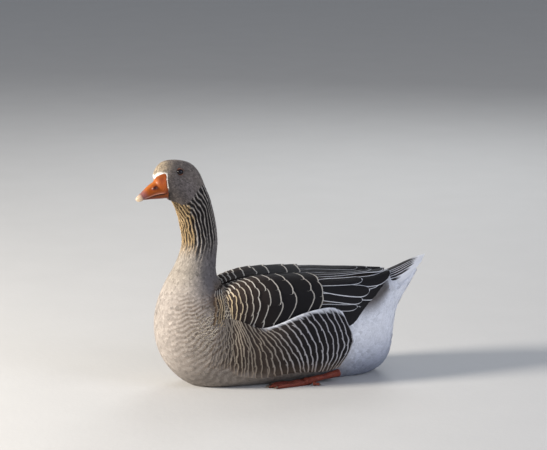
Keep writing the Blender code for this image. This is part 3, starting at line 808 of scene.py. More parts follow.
# Painted shade: the body's feathers are darker the nearer they lie to the floor.
ground = body_marks(rows, columns) * (1 - .3 * (1 - ease(10, 75, place[..., 2])))[..., None]
# Painted shade, tinted blue like skylight, over the vent's lower parts.
vent_painted_shade = (1 - ease(20, 125, place[..., 2])) * ease(19, 21, root_station)[:, None, None]
ground = blended(ground, ground * (.52, .55, .63), vent_painted_shade)
spread = np.interp(root_station, [0, 6, 8, 10.5, 13, 20, 22], [.2, .2, .1, .15, .13, .09, .03])
own_shade = 1 + spread[:, None, None, None] * luck.normal(0, 1, (len(root_row), 1, 1, 1))
ground *= own_shade * (.93 + .07 * levels[..., None])
rim = ground * (1.1 + .06 * ease(11, 13, root_station))[:, None, None, None]
root_side = fold_side(root_column)
brown_back = mantle_share(root_station, root_side, 12.4, 46, 62) * (1 - ease(19, 21, root_station))
streak = ease(14.2, 15.6, root_station) * (1 - ease(17, 18.6, root_station)) * hump(root_side, 88, 26)
rim = blended(rim, MANTLE_EDGE, brown_back[:, None, None] + 0 * rows)
rim = blended(rim, STREAK_BEIGE, streak[:, None, None] + 0 * rows)
rim_mm = .5 + .9 * ease(11, 14, root_station) + .8 * brown_back
cells = .02 + .96 * np.stack([root_row / (last_station * STATION_ROWS), root_column % DEGREES / DEGREES], -1)
starts = 0
for ends, region, slot, barbs, split in ((6.2, "head", "head", 9, .2), (12, "neck", "neck", 20, .25),
                                         (19, "breast", "breast", 30, .1), (99, "vent", "tail", 34, .06)):
    own = keep & (root_station >= starts) & (root_station < ends)
    starts = ends
    region_finish = finish(region + "_down", vane_finish(barbs, split=split, cloud=split),
                           Specular_IOR_Level=.25)
    feather_piece(region + "_feathers", place[own], ground[own], rim[own], rim_mm[own] / length[own],
                  1.2 * rim_mm[own] / width[own], cells[own], .003, region_finish, slot + "_plumage")

# ---------------------------------------------------------------------------------------------
# The folded wings. Over each plate lie rows of broad scapulars and coverts, dark brown with a
# pale edge that draws one arc to a row, then long white-edged tertials and the dark secondaries.
# ---------------------------------------------------------------------------------------------
BROAD_LEVELS = np.array([0, .25, .45, .62, .76, .87, .94, .98, 1])
BROAD_LANES = np.array([-1, -.72, -.38, 0, .38, .72, 1])
WING_BROWN, WING_BLACK = paint(50, 40, 35), paint(21, 19, 21)
EDGE_GOLD, EDGE_PALE, EDGE_WHITE = paint(188, 168, 136), paint(196, 190, 180), paint(232, 232, 236)
# Each row: x of its edge at the fullest part, how wide one feather is, how far it bows back, mm
COVERT_ROWS = [
    (98, 34, 20), (71, 36, 23), (28, 34, 25), (-4, 31, 24), (-33, 28, 22), (-53, 25, 20), (-69, 22, 17),
    (-82, 19, 15), (-95, 17, 13), (-106, 15, 11), (-114, 13, 9), (-121, 12, 8), (-128, 11, 7),
    (-134, 11, 6), (-140, 10, 5), (-146, 10, 4), (-152, 10, 4)]


def covert_edge(x, bow, lane):
    """A row's edge bows back at the fullest part and comes forward to the ridge and the lower edge,
    and wanders a little on the way."""
    part = lane / WING_LANES
    above, below = np.clip((3.7 - part) / 1.45, 0, 1.25), np.clip((part - 3.7) / .95, 0, 1.5)
    return x - bow * (.66 * above ** 2 + .85 * below ** 2) + .07 * bow * ripple(part * 4, 0 * part + x / 9)


def broad_vanes(form, start, edge_x, centre, half, length, roundness, slant, sink, camber, roll):
    """A row of broad feathers on a plate, with their x and lane. Each lane ends at its row's edge,
    less a rounding to its sides; the root narrows and sinks under the row in front."""
    v, u = BROAD_LEVELS[None, :, None], BROAD_LANES[None, None, :]
    squared = np.where(v > .9, 1 - .07 * ((v - .9) / .1) ** 2, 1)
    wide = np.reshape(half, (-1, 1, 1)) * (.62 + .38 * ease(0, .5, v)) * squared
    column = centre[:, None, None] + u * wide + slant * (v - 1)
    x = edge_x(column) - length[:, None, None] * (1 - v) - roundness * np.abs(u) ** 2.4 * v ** 2
    place, normal = form.read(x - start, column)[:2]
    lift = -sink * (1 - v) ** 1.4 - camber * u ** 2 + roll * u * v + .35
    lift = lift + luck.normal(0, .18, (len(centre), 1, 1))
    return place + normal * lift[..., None], x, column


def feathers_both_sides(name, points, ground, rim, *rest):
    """The left side's feathers, and their mirror on the right with its lanes turned round, so that
    its faces point outwards too."""
    feather_piece(name + "_left", points, ground, rim, *rest)
    feather_piece(name + "_right", mirrored(points)[:, :, ::-1], ground[:, :, ::-1], rim[:, :, ::-1], *rest)


covert_rows = []
across_mm = np.linalg.norm(np.gradient(wing.points, axis=1), axis=-1)
for index, (x, wide, bow) in enumerate(COVERT_ROWS):
    gap_ahead = (x - COVERT_ROWS[min(index + 1, len(COVERT_ROWS) - 1)][0]) or 7
    lane, centres, halves = 6.0, [], []
    while lane < 117:
        local = across_mm[int(np.clip(x - 20 - WING_START, 0, len(wing_x) - 1)), int(lane)]
        half_lanes = wide * luck.uniform(.85, 1.15) / 2 / max(local, .3)
        centres.append(min(lane + half_lanes, 118))
        halves.append(half_lanes * 1.22)
        lane += 2 * half_lanes
    centres, halves = np.array(centres), np.array(halves)
    stands = over_body(wing.read(covert_edge(x, bow, centres) - WING_START, centres)[0])[0]
    shown = (stands > -2.5) & ((centres > 44) | (x > -131))
    centres, halves = centres[shown], halves[shown]
    n = len(centres)
    shove = luck.normal(0, .9 + .03 * wide, n)[:, None, None]
    length = np.full(n, max(2.3 * gap_ahead, 1.15 * wide) + 4)
    place, vane_x, _ = broad_vanes(wing, WING_START, lambda lane: covert_edge(x, bow, lane) + shove, centres,
                                   halves, length, .11 * wide, 1.0, 4.5, .4, .35)
    golden = (1 - ease(-112, -50, x)) * ease(50, 75, centres)[:, None, None]
    fading = .8 * (1 - ease(-158, -132, x)) + 0 * vane_x
    into = blended(SHOULDER * .8, STREAK_BROWN, ease(40, 75, centres))[:, None, None, :]
    fore = blended(WING_BLACK, WING_BROWN, 1 - ease(-100, 10, vane_x))
    ground = fore * (.8 + .35 * BROAD_LEVELS[None, :, None, None]) * luck.normal(1, .06, (n, 1, 1, 1))
    rim = blended(EDGE_PALE, EDGE_GOLD, golden + 0 * vane_x) * luck.normal(1, .05, (n, 1, 1, 1))
    covert_rows.append((place, blended(ground, into, fading), blended(rim, into * 1.7, fading),
                        (2.5 + .6 * luck.random(n)) / length, 1.1 / wide * np.ones(n),
                        np.stack([np.full(n, .03 + .057 * index), .04 + .9 * centres / 120], -1)))
covert_finish = finish("wing_covert", vane_finish(40, gloss=.68, shaft=.25, split=.18, fade=7),
                       Specular_IOR_Level=.2)
feathers_both_sides("coverts", *(np.concatenate(part) for part in zip(*covert_rows)), (.045, .028),
                    covert_finish, "wing_plumage", BROAD_LEVELS, BROAD_LANES)

# Secondaries, then tertials: root x and lane part, tip x and lane part, half width in mm, how far
# it sits above the wing in mm, whether its edge is white (1) or hardly shows (0)
LONG_FEATHERS = [
    (70, 4.75, 168, 5.05, 9, -2.4, .2), (78, 4.7, 180, 5.1, 9, -2.3, .15),
    (84, 4.6, 192, 5.15, 9.5, -2.2, .25), (90, 4.5, 206, 5.2, 10, -2, .3),
    (96, 4.35, 223, 5.2, 10.5, -1.8, .35), (102, 4.1, 243, 5.15, 11.5, -1.5, .6),
    (108, 3.75, 261, 5.1, 12.5, -1.1, .9), (112, 3.3, 275, 4.9, 13.5, -.5, 1),
    (100, 2.5, 282, 3.6, 14, .1, 1), (62, 4.3, 180, 4.55, 8, .6, .8), (62, 3.78, 194, 4.34, 10, 1.2, 1),
    (62, 3.12, 214.5, 3.94, 13.5, 1.8, 1), (62, 2.84, 198.5, 2.92, 11.5, 2.4, 1),
    (72, 2.1, 268, 1.55, 9.5, 1.6, .9), (70, 1.75, 236, 1.45, 10, 2.2, .6),
    (62, 1.15, 214, 1.2, 11, 2.6, .5), (66, .5, 240, .7, 9, 2, .5)]
LONG_LEVELS = np.array([0, .12, .26, .4, .53, .65, .75, .83, .89, .935, .965, .985, 1])
LONG_LANES = np.array([-1, -.9, -.6, -.25, .0, .25, .6, .9, 1])

# They lie from root to tip over the wing's plate, with straight sides and a round end. Where one
# reaches past the plate's edge, it carries straight on.
row = np.array(LONG_FEATHERS, float)[:, :, None, None]
v, u = LONG_LEVELS[None, :, None], LONG_LANES[None, None, :]
end = np.clip((v - .8) / .2, 0, 1)
wide = row[:, 4] * (.55 + .45 * ease(0, .35, v)) * np.sqrt(np.maximum(1 - end ** 2.2, .012))
middle = row[:, 1] + (row[:, 3] - row[:, 1]) * v ** 1.15
x = row[:, 0] + (row[:, 2] - row[:, 0]) * v
part_mm = np.linalg.norm(wing.read(x - WING_START, middle * WING_LANES)[3], axis=-1) * WING_LANES
wanted = (middle + u * wide / np.maximum(part_mm, 6)) * WING_LANES
column = np.clip(wanted, .5, 4.95 * WING_LANES)
place, normal, _, across = wing.read(x + 0 * u - WING_START, column)
lift = row[:, 5] - 6 * (1 - v) ** 2.2 - .5 * u ** 2 + .3 * u * (1 - end) + .25
place = place + across * (wanted - column)[..., None] + normal * lift[..., None]
row = row[..., 0, 0]
n = len(row)
ground = np.broadcast_to(WING_BLACK, place.shape) * luck.normal(1, .07, (n, 1, 1, 1))
rim = blended(WING_BLACK * 1.6, EDGE_WHITE, row[:, 6][:, None, None] + 0 * lift)
cells = np.stack([np.full(n, .5), .03 + .94 * np.arange(n) / n], -1)
long_finish = finish("wing_quill", vane_finish(90, gloss=.6, shaft=.45, split=.14), Specular_IOR_Level=.22)
feathers_both_sides("tertials", place, ground, rim, 2.1 / (row[:, 2] - row[:, 0]), 1.5 / row[:, 4], cells,
                    (.9, .045), long_finish, "wing_plumage", LONG_LEVELS, LONG_LANES)

# ---------------------------------------------------------------------------------------------
# The flanks: rows of broad feathers that hang over the wing's lower edge, brown in front and
# nearly black behind. Each row's pale edge makes one of the goose's upright bars.
# ---------------------------------------------------------------------------------------------
FLANK_BAR_AT = np.array([-9, 0, 6, 13, 21, 24])
FLANK_BARS = np.array([   # x of a bar's edge, from the flank's top to its underside, for those bars
    (-140, -153, -165, -176, -186), (-128, -122, -118, -115, -112), (-101, -86, -73, -66, -62),
    (-36, -13, 8, 30, 46), (92, 114, 127, 128, 114), (140, 160, 166, 160, 138)], float)
BAR_BROWN, BAR_BLACK = paint(66, 56, 50), paint(25, 22, 24)
BAR_BEIGE, BAR_WHITE = paint(150, 139, 125), paint(182, 180, 183)
LOW_BROWN, LOW_EDGE = paint(104, 90, 79), paint(150, 132, 114)


def bar_edge(index, lane):
    """The x of one bar's edge at each lane: the table's bars, mixed along and smoothed down."""
    bar = np.array([np.interp(index, FLANK_BAR_AT, FLANK_BARS[:, part]) for part in range(5)])
    wander = 1.5 * ripple(lane / 6, 0 * lane + index * 1.7, 2.0)
    return spline(bar[:, None], np.clip(lane, 0, 80) / 20)[..., 0] + wander


flank_bars = []
across_mm = np.linalg.norm(np.gradient(flank.points, axis=1), axis=-1).mean()
for index in np.arange(24, -9, -1):
    ahead = np.diff([bar_edge(bar, np.array([40.0]))[0] for bar in (index - 1, index)])[0]
    wide = np.interp(index, [-9, 0, 10, 24], [11, 13, 19, 26])
    lane, centres = luck.uniform(-4, 0), []
    while lane < 78:
        centres.append(lane + wide / across_mm / 2)
        lane += wide / across_mm * luck.uniform(.85, 1.12)
    n = len(centres)
    centres = np.array(centres)
    shove = luck.normal(0, .8, n)[:, None, None]
    length = np.full(n, max(2.4 * ahead, 24)) * luck.uniform(.95, 1.1, n)
    place, vane_x, lane_at = broad_vanes(flank, FLANK_START, lambda lane: bar_edge(index, lane) + shove,
                                         centres, wide / across_mm * .64, length, .09 * wide, 3, 4, .15, .1)
    rear, low = ease(-60, 60, vane_x), ease(62, 80, lane_at)
    base = blended(blended(BAR_BROWN, BAR_BLACK, rear), LOW_BROWN, low * .5)
    edge = blended(blended(BAR_BEIGE, BAR_WHITE, rear), LOW_EDGE, low * .7)
    # the first bars, and the lowest in front, sink into the breast's own colours
    lowest = ease(69, 82, lane_at + 3 * ripple(vane_x / 5, index + 0 * lane_at)) * (1 - ease(-90, 0, vane_x))
    sunk = np.maximum(1 - ease(-8.5, 1.5, index), lowest)
    near_marks = over_body(place)[2]
    base = blended(base, near_marks, sunk * .9)
    edge = blended(edge, near_marks * 1.2, sunk * .6)
    bright = 1 - ease(2.2, 4.6, lane_at + 1.7 * ripple(vane_x / 4, index + 0 * lane_at))
    bright = bright * ease(-66, -30, vane_x)
    base = blended(base, WHITE, bright) * (.82 + .22 * BROAD_LEVELS[None, :, None, None])
    rim_mm = np.interp(index, [-6, 0, 12, 24], [2.2, 3.0, 3.5, 3.1])
    cell = np.stack([np.full(n, .025 + .028 * (index + 9)), np.clip(.04 + .9 * centres / 80, .04, .96)], -1)
    flank_bars.append((place, base * luck.normal(1, .05, (n, 1, 1, 1)), blended(edge, WHITE, bright),
                       rim_mm * luck.uniform(.8, 1.2, n) / length, .7 / wide * np.ones(n), cell))
flank_finish = finish("flank_vane", vane_finish(40, gloss=.68, shaft=.1, split=.16, fade=7),
                      Specular_IOR_Level=.2)
feathers_both_sides("flank_feathers", *(np.concatenate(part) for part in zip(*flank_bars)), (.026, .1),
                    flank_finish, "flank_plumage", BROAD_LEVELS, BROAD_LANES)

# ---------------------------------------------------------------------------------------------
# The tail. Folded into a narrow fan: brown quills with white edges and broad white tips, one
# over the next from the sides to the middle, with short white coverts over and under their roots.
# ---------------------------------------------------------------------------------------------
QUILLS = 14
TAIL_BROWN = paint(44, 38, 38)
QUILL_ROOT_X = 266
row = np.arange(QUILLS)
out = (row + .5) / QUILLS * 2 - 1
out = out[np.argsort(-np.abs(out))]
rank = np.abs(out)                                # 0 in the middle, 1 at either side
v, u = LONG_LEVELS[None, :, None], LONG_LANES[None, None, :]
end = np.clip((v - .84) / .16, 0, 1)
tip_x = (372.5 - 15 * rank ** 1.5)[:, None, None]
x = QUILL_ROOT_X + (tip_x - QUILL_ROOT_X) * v
wide = (.19 + .14 * v ** 2) * np.sqrt(np.maximum(1 - end ** 2.4, .015))
lane_out = np.clip(out[:, None, None] * (.62 + .3 * v) + u * wide, -.99, .99)
place, normal = tail.read(x - tail_x[0], (1 + lane_out) * TAIL_LANES)[:2]
lift = -2.2 * rank[:, None, None] - .3 * u ** 2 + .1 * np.sign(out)[:, None, None] * u
place = place + normal * lift[..., None]
turns_white = np.interp(rank, [0, .5, .64, .79, .93], [.75, .69, .58, .34, .06])[:, None, None]
white_tip = ease(-.035, .035, v - .04 * u ** 2 - turns_white)
ground = blended(TAIL_BROWN, WHITE, white_tip + 0 * x) * luck.normal(1, .05, (QUILLS, 1, 1, 1))
rim = np.broadcast_to(WHITE, place.shape)
tail_finish = finish("tail_vane", vane_finish(44, gloss=.6, split=.12, cloud=.08))
cells = np.stack([np.full(QUILLS, .5), .04 + .92 * (row + .5) / QUILLS], -1)
feather_piece("tail_quills", place, ground, rim, np.full(QUILLS, .03), np.full(QUILLS, .13), cells,
              (.9, .05), tail_finish, "tail_plumage", LONG_LEVELS, LONG_LANES)

# White coverts over the quills' roots, and longer ones hanging under them
count = 150
out, root_x = luck.uniform(-.95, .95, count), luck.uniform(256, 264, count)
order = np.argsort(-root_x)
out, root_x = out[order], root_x[order]
v, u = SMALL_LEVELS[None, :, None], SMALL_LANES[None, None, :]
length = luck.uniform(10, 16, count) + 8 * ease(.7, .9, np.abs(out))
x = root_x[:, None, None] + length[:, None, None] * v
lane_out = np.clip(out[:, None, None] + u * .17 * SMALL_SHAPE[None, :, None], -.99, .99)
place, normal = tail.read(x - tail_x[0], (1 + lane_out) * TAIL_LANES)[:2]
lift = 1.6 - 4 * (1 - v) ** 1.6 - .5 * u ** 2 + luck.normal(0, .3, (count, 1, 1))
place = place + normal * lift[..., None]
hue = blended(WHITE, RUMP, (1 - ease(262, 290, x)) * (1 - ease(.3, .8, np.abs(lane_out))))
hue = hue * luck.normal(1, .03, (count, 1, 1, 1))
cells = np.stack([.1 + .8 * (root_x - 262) / 40, .5 + .45 * out], -1)
under = np.maximum(x - tail_x[0], 0) * 3.1 - 4
below, normal_below = tail.read(under, (1 + lane_out) * TAIL_LANES)[:2]
below = (below - normal_below * (6.5 - 3.5 * (1 - v) ** 1.6 - .5 * u ** 2)[..., None])[:, :, ::-1]
hue, cells = np.concatenate([hue, hue]), np.concatenate([cells, cells])
feather_piece("tail_coverts", np.concatenate([place, below]), hue, hue, np.full(2 * count, .04),
              np.full(2 * count, .1), cells, .003,
              finish("tail_covert_down", vane_finish(16, gloss=.72, split=.1)), "tail_plumage")

# ---------------------------------------------------------------------------------------------
# The bill. Bare orange skin over bone: the upper half grows out of the face as an arch over the
# mouth, with a slit nostril and a horn nail at its tip, and the lower half is a shallow trough.
# ---------------------------------------------------------------------------------------------
UPPER_RINGS = np.array([  # ridge x, z, mouth edge x, z, half width
    (-271, 468.5, -252.2, 441, 21.8), (-279.5, 462.5, -263, 440.4, 18.2), (-288.3, 456.3, -274, 438.4, 15.2),
    (-297, 448.8, -286, 434.6, 12.5), (-304, 442.2, -297, 430.8, 10.2)])
LOWER_RINGS = np.array([  # mouth x, z, keel x, z, half width
    (-251.8, 441.2, -243.4, 427.8, 17.5), (-263, 440.5, -259, 427.9, 14.8), (-274, 438.3, -272, 428.1, 12.3),
    (-286, 434.4, -284, 428.3, 9.8), (-297, 430.9, -295.6, 427.6, 6.0)])
NAIL_RINGS = np.array([
    (-303, 443.6, -298.2, 431.8, 9.6), (-306, 441.2, -300.4, 429.6, 9.9), (-310, 437.6, -303.6, 427.2, 8.8),
    (-314, 433.4, -307.6, 425.6, 6.6), (-315.6, 430.0, -311, 424.9, 3.4)])
GAPE = 111                                        # angle from the back where the two halves meet
SLIT_SLANT = math.radians(34)
BILL_ORANGE, BILL_RED, BILL_PINK = paint(142, 66, 8), paint(112, 36, 16), paint(130, 84, 84)
BILL_CULMEN_HIGHLIGHT, HORN, HORN_PINK = paint(190, 112, 44), paint(196, 176, 150), paint(134, 88, 82)
LIP_PALE, INNER_RED, MOUTH_GAP_SHADE = paint(225, 170, 150), paint(56, 10, 6), paint(46, 14, 10)


def arch(ring, turn, low):
    """Points over one half of the bill: from its ridge (or keel) down to the mouth edge as a
    cosine, as wide as the sine, and closed across the mouth by a slightly hollow palate."""
    ridge, edge, wide = ring[..., None, 0:2], ring[..., None, 2:4], ring[..., None, 4]
    lift = np.cos(turn)
    share = np.where(lift > 0, low + (1 - low) * np.abs(lift) ** 1.12, low + .05 * lift + .16 * lift ** 2)
    median = edge + (ridge - edge) * share[..., None]
    y = -wide * np.sign(np.sin(turn)) * np.abs(np.sin(turn)) ** .92
    return np.stack([median[..., 0], y + 0 * share, median[..., 1]], -1)


def on_face(turn, first, last, past, proud):
    """A ring on the head's own surface: from the angle first at the ridge to last at the gape,
    past the feather line by some stations, standing proud of it; flat across the mouth."""
    folded = np.abs((turn + np.pi) % (2 * np.pi) - np.pi)
    angle = np.radians(first + (last - first) * np.clip(folded / (np.pi / 2), 0, 1))
    line = face_line(np.degrees(angle))
    station = np.maximum(line + past if past > 0 else line * (1 + past), .02)
    place, normal = outline.read(station * STATION_ROWS, np.degrees(angle))[:2]
    place = turned(place + normal * proud, -1)
    closing = np.where(folded > np.pi / 2, np.abs(np.sin(turn)), 1.0)
    side = np.where(np.sin(turn) >= 0, 1, -1)
    place[..., 1] = place[..., 1] * side * closing
    return place


def bill_form(faces, rings, turn, low, count):
    """The bill's control rings, those on the face first, joined along by a spline."""
    control = np.concatenate([np.stack(faces), arch(rings, turn[None, :], low)])
    return spline(control, np.linspace(0, len(control) - 1, count))


UPPER_COUNT = 110
bill_turn = all_round(72)
upper_points = bill_form([on_face(bill_turn, 0, GAPE, .16, -2.4), on_face(bill_turn, 0, GAPE, -.04, -.3)],
                         UPPER_RINGS, bill_turn, .06, UPPER_COUNT)
px, py, pz = np.moveaxis(upper_points, -1, 0)
along_slit = (px + 275.7) * np.cos(SLIT_SLANT) + (pz - 455) * np.sin(SLIT_SLANT)
over_slit = -(px + 275.7) * np.sin(SLIT_SLANT) + (pz - 455) * np.cos(SLIT_SLANT)
slit = np.where(np.abs(py) > 3, np.sqrt((along_slit / 6.2) ** 2 + (over_slit / 2.9) ** 2), 9)
dent = 2.4 * (1 - ease(.35, 1.15, slit)) - .45 * hump(slit, 1.55, .45)
hollow = .35 * hump(along_slit, 8, 13) * hump(over_slit, 1, 6) * (np.abs(py) > 2)
folded = np.abs((bill_turn + np.pi) % (2 * np.pi) - np.pi)[None, :]
tomium = .5 * hump(folded, np.pi / 2 - .1, .14) * ease(16, 36, np.arange(UPPER_COUNT))[:, None]
culmen = .5 * hump(folded, 0, .25) * ease(14, 36, np.arange(UPPER_COUNT))[:, None]
wrinkle = .18 * np.sin(px * 1.9 + 1.2 * np.sin(pz * .5)) * hump(px, -256, 9)
carved = (dent + hollow - tomium - culmen + wrinkle)[..., None]
upper_points = upper_points - Form(upper_points, closed=True).normal * carved
redder = .8 * hump(px, -247, 8) * hump(pz, 444, 6) + .45 * hump(pz, 474, 7) * hump(px, -260, 9)
hue = blended(BILL_ORANGE, BILL_RED, np.clip(redder + .8 * (1 - ease(.9, 1.7, slit)), 0, 1))
# A painted highlight, paler and yellower, along the bill's ridge.
hue = blended(hue, BILL_CULMEN_HIGHLIGHT, .6 * hump(folded, 0, .5) + 0 * px)
hue = blended(hue, BILL_PINK, .85 * (1 - ease(-300, -286, px + .35 * (pz - 440))))
hue = blended(hue, INNER_RED, 1 - ease(.6, 1.05, slit))
hue = blended(hue, LIP_PALE, .55 * hump(folded, np.pi / 2, .12) * (1 - ease(-262, -250, px)))


def bill_finish(wire):
    """Waxy bare skin: the mesh's own colours, clouded, flecked and finely pored."""
    place = wire.place()
    cloud = wire.noise(place, 90.0)
    fleck = wire.noise(place, 420.0, 4.0)
    colour = wire.mixed(wire.painted(), paint(116, 44, 16), cloud.eased(.5, .85) * .45)
    colour = wire.mixed(colour, paint(188, 122, 62), fleck.eased(.6, .8) * .3)
    return colour, cloud * .2 + .3, fleck * .6 + wire.noise(place, 1500.0) * .4, .0003


def horn_finish(wire):
    """Polished pale horn: the mesh's own colours with darker streaks."""
    streak = wire.add("ShaderNodeMapping", {0: wire.place(), "Scale": (90.0, 500.0, 300.0)})
    grain = wire.noise(streak, 1.0, 4.0)
    colour = wire.mixed(wire.painted(), paint(150, 116, 96), grain.eased(.45, .8) * .5)
    return colour, grain * .2 + .26, grain, .00018


bill_skin = finish("bill_skin", bill_finish, Coat_Weight=.03, Specular_IOR_Level=.35, Coat_Roughness=.25,
                   Subsurface_Weight=.08, Subsurface_Radius=(.004, .0015, .0008))
horn = finish("horn", horn_finish, Subsurface_Weight=.1, Subsurface_Radius=(.003, .002, .0015))
upper = joined_piece("upper_bill", [painted_shell(turned(upper_points, 1), hue)], [bill_skin])
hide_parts("bill_upper")

lower_points = bill_form([on_face(bill_turn, 180, GAPE, .3, -2.2), on_face(bill_turn, 180, GAPE, .05, -.5)],
                         LOWER_RINGS[:, [2, 3, 0, 1, 4]], bill_turn, .04, 80)
px, _, pz = np.moveaxis(lower_points, -1, 0)
hue = blended(BILL_RED, BILL_ORANGE, ease(429, 437, pz))
# Painted shade: the lower half is darkened along the gap between the two halves.
hue = blended(hue, MOUTH_GAP_SHADE, .9 * hump(folded, np.pi / 2, .3) * (1 - ease(-258, -249, px)))
hue = blended(hue, BILL_PINK, .8 * (1 - ease(-298, -286, px)))
lower = joined_piece("lower_bill", [painted_shell(turned(lower_points, 1), hue)], [bill_skin])
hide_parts("bill_lower")

nail_points = spline(arch(NAIL_RINGS, bill_turn[None, :], .04), np.linspace(0, 4, 40))
nail_middle = nail_points.mean(1, keepdims=True)
thin = ease(0, 5, np.arange(40))[:, None, None]
nail_points = nail_middle + (nail_points - nail_middle) * (.9 + .105 * thin)
last, middle = nail_points[-1], nail_points[-1].mean(0)
closing = [last + (middle - last) * share - (math.sqrt(share), 0, 0) for share in (.25, .5, .75)]
nail_points = np.concatenate([nail_points, closing])
hue = blended(HORN_PINK, HORN, ease(2, 26, np.arange(len(nail_points)))[:, None] + 0 * bill_turn)
nail = joined_piece("bill_tip", [painted_shell(turned(nail_points, 1), hue)], [horn])
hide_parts("bill_nail")

# ---------------------------------------------------------------------------------------------
# The eyes. Each is a glassy ball with a nearly black iris and a black pupil with a painted blue
# reflection, a little swollen in front, set in a rim of bare skin that lies over it.
# ---------------------------------------------------------------------------------------------


def eye_finish(wire):
    """Wet glass: the mesh's own iris and pupil, finely flecked with black."""
    fleck = wire.noise(wire.place(), 1800.0, 4.0)
    colour = wire.mixed(wire.painted(), np.zeros(3), fleck.eased(.4, .7) * .5)
    return colour, fleck * .02 + .06, fleck, .00001


eye_glass = finish("eye_glass", eye_finish, Coat_Weight=.1, Coat_Roughness=.04, Specular_IOR_Level=.28)
LID_PINK, PUPIL_BLACK_BLUE_REFLECTION = paint(146, 92, 68), paint(9, 11, 26)
IRIS_BROWN, IRIS_RIM = paint(26, 16, 14), paint(12, 8, 8)
LID_WIDE, LID_TALL, LID_THICK = 7.7, 6.5, 1.2
bend = np.linspace(.02, np.pi - .02, 44)[:, None]
spin = all_round(48)[None, :]
radius = EYE_RADIUS * (1 + .035 * hump(bend, 0, .62))
# The pupil is near black with a painted blue reflection.
iris = blended(PUPIL_BLACK_BLUE_REFLECTION, IRIS_BROWN, ease(.40, .46, bend + 0 * spin))
iris = blended(iris, IRIS_RIM, ease(.62, .9, bend + 0 * spin))
rim_turn, section = all_round(64)[:, None], all_round(14)[None, :]
lid_wide = LID_WIDE * (1 + .1 * np.abs(np.cos(rim_turn)) ** 6)
for name, sign in (("left", 1), ("right", -1)):
    facing = np.array((-.14, -1.0 * sign, .26))
    facing /= np.linalg.norm(facing)
    level_way = np.cross(facing, (0, 0, 1))
    level_way /= np.linalg.norm(level_way)
    upright = np.cross(level_way, facing)
    centre = EYE_CENTRE * (1, sign, 1)
    ball = ((radius * np.cos(bend))[..., None] * facing
            + (radius * np.sin(bend) * np.cos(spin))[..., None] * level_way
            + (radius * np.sin(bend) * np.sin(spin))[..., None] * upright)
    eye = joined_piece("eyeball_" + name, [painted_shell(turned(ball + centre, 1), iris)], [eye_glass])
    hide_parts("eye_" + name)
    rim_line = ((lid_wide * np.cos(rim_turn))[..., None] * level_way
                + (LID_TALL * np.sin(rim_turn))[..., None] * upright)
    reach = np.linalg.norm(rim_line, axis=-1)
    outward = rim_line / reach[..., None]
    reach = reach + LID_THICK + LID_THICK * np.cos(section)
    over_ball = np.sqrt(np.maximum((EYE_RADIUS + .3) ** 2 - reach ** 2, 0))
    over_ball = over_ball + (.5 + .08 * np.sin(rim_turn * 30)) * np.sin(section)
    lid = outward * reach[..., None] + facing * over_ball[..., None]
    lid = np.concatenate([lid, lid[:1]])
    lids = joined_piece("eyelid_" + name, [(*shell(turned(lid + centre, 1)), LID_PINK, 0)], [bill_skin])

# ---------------------------------------------------------------------------------------------
# The claws. Short blunt hooks of dark horn grow from the toes' tips; each is a tapered rod that
# bends down to the floor.
# ---------------------------------------------------------------------------------------------
CLAW_BROWN, CLAW_DARK, CLAW_PALE = paint(70, 56, 48), paint(64, 50, 42), paint(120, 100, 82)
claw_shells = []
t, turn = np.linspace(0, 1, 14)[:, None], all_round(14)[None, :]
thick = (2.6 * np.sqrt(np.maximum(1 - t ** 1.5, .02)))[..., None]
for tip, root, reach in (*((tip, ANKLE, 9) for tip in TOE_TIPS), (HIND_TOE_TIP, HIND_TOE_ROOT, 5.4)):
    forward = (tip - root) / np.linalg.norm(tip - root)
    way = np.cross(forward, (0, 0, 1))
    way /= np.linalg.norm(way)
    claw = tip + forward * (t * reach - 1.2)[..., None] - (0, 0, 1.3) * (t ** 2)[..., None]
    claw = claw + thick * (np.cos(turn)[..., None] * way + .85 * np.sin(turn)[..., None] * (0, 0, 1))
    claw[..., 2] = np.maximum(claw[..., 2], ON_FLOOR)
    claw_shells += shells_both_sides(claw, CLAW_BROWN)


def claw_finish(wire):
    """Dark horn, worn paler in a fine grain."""
    grain = wire.noise(wire.place(), 700.0, 4.0)
    return wire.mixed(CLAW_DARK, CLAW_PALE, grain), grain * .2 + .35, grain, .0002


claws = joined_piece("claws", claw_shells, [finish("claw_horn", claw_finish)])
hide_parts(*(f"claw_{side}_{toe}" for side in ("left", "right")
                     for toe in ("inner", "middle", "outer", "hind")))

# ---------------------------------------------------------------------------------------------
# The studio: a pale floor, soft lamps and the camera, which looks from the goose's left, a
# little from the front and above, through a long lens.
# ---------------------------------------------------------------------------------------------
FLOOR_HALF = 60.0


def floor_finish(wire):
    """Smooth pale plaster with a faint cloudiness."""
    cloud = wire.noise(wire.place(), 6.0)
    colour = wire.mixed(np.array((.56, .55, .53)), np.array((.6, .59, .57)), cloud)
    return colour, cloud * .1 + .75, wire.noise(wire.place(), 60.0), .0004


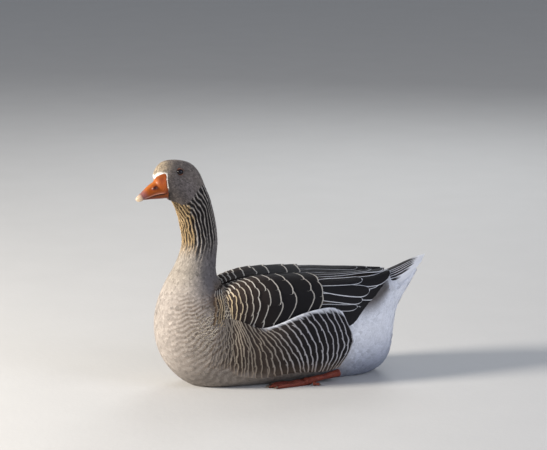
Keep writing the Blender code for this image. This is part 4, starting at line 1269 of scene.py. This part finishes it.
floor_mesh = bpy.data.meshes.new("floor")
floor_mesh.from_pydata([(x * FLOOR_HALF, y * FLOOR_HALF, 0) for x, y in ((-1, -1), (1, -1), (1, 1), (-1, 1))],
                       [], [(0, 1, 2, 3)])
floor_mesh.materials.append(finish("floor_plaster", floor_finish))
floor = bpy.data.objects.new("floor", floor_mesh)
bpy.context.scene.collection.objects.link(floor)

for name, spot, aim, size, power, tint in (
        ("key_lamp", (-3.9, .1, 1.7), (-.05, 0, .25), 1.0, 330, (1, .94, .86)),
        ("fill_lamp", (2.4, -3.0, 1.8), (0, 0, .2), 2.4, 60, (.74, .81, 1)),
        ("back_lamp", (1.6, 2.8, 2.4), (0, 0, .3), 1.8, 40, (.92, .96, 1))):
    lamp = bpy.data.lights.new(name, "AREA")
    lamp.shape, lamp.size, lamp.energy, lamp.color = "DISK", size, power, tint
    holder = bpy.data.objects.new(name, lamp)
    holder.location = spot
    holder.rotation_euler = (Vector(aim) - Vector(spot)).to_track_quat("-Z", "Y").to_euler()
    bpy.context.scene.collection.objects.link(holder)
world = bpy.data.worlds.new("studio_air")
world.use_nodes = True
world.node_tree.nodes["Background"].inputs[0].default_value = (.82, .88, 1, 1)
world.node_tree.nodes["Background"].inputs[1].default_value = .3
bpy.context.scene.world = world
bpy.context.scene.view_settings.view_transform = "Standard"

LOOK_ROUND, LOOK_DOWN, LOOK_FROM = math.radians(-18), math.radians(12.5), 6.0
back = Vector((math.sin(LOOK_ROUND) * math.cos(LOOK_DOWN),
               -math.cos(LOOK_ROUND) * math.cos(LOOK_DOWN), math.sin(LOOK_DOWN)))
right = Vector((math.cos(LOOK_ROUND), math.sin(LOOK_ROUND), 0))
eye_level = Vector((0, 0, .2))
spot = eye_level + back * LOOK_FROM
aim = eye_level + right * .0079 + back.cross(right) * .1485
lens = bpy.data.cameras.new("camera")
lens.lens, lens.sensor_width = 175.5, 36
camera = bpy.data.objects.new("camera", lens)
camera.location = spot
camera.rotation_euler = (aim - spot).to_track_quat("-Z", "Y").to_euler()
bpy.context.scene.collection.objects.link(camera)
bpy.context.scene.camera = camera
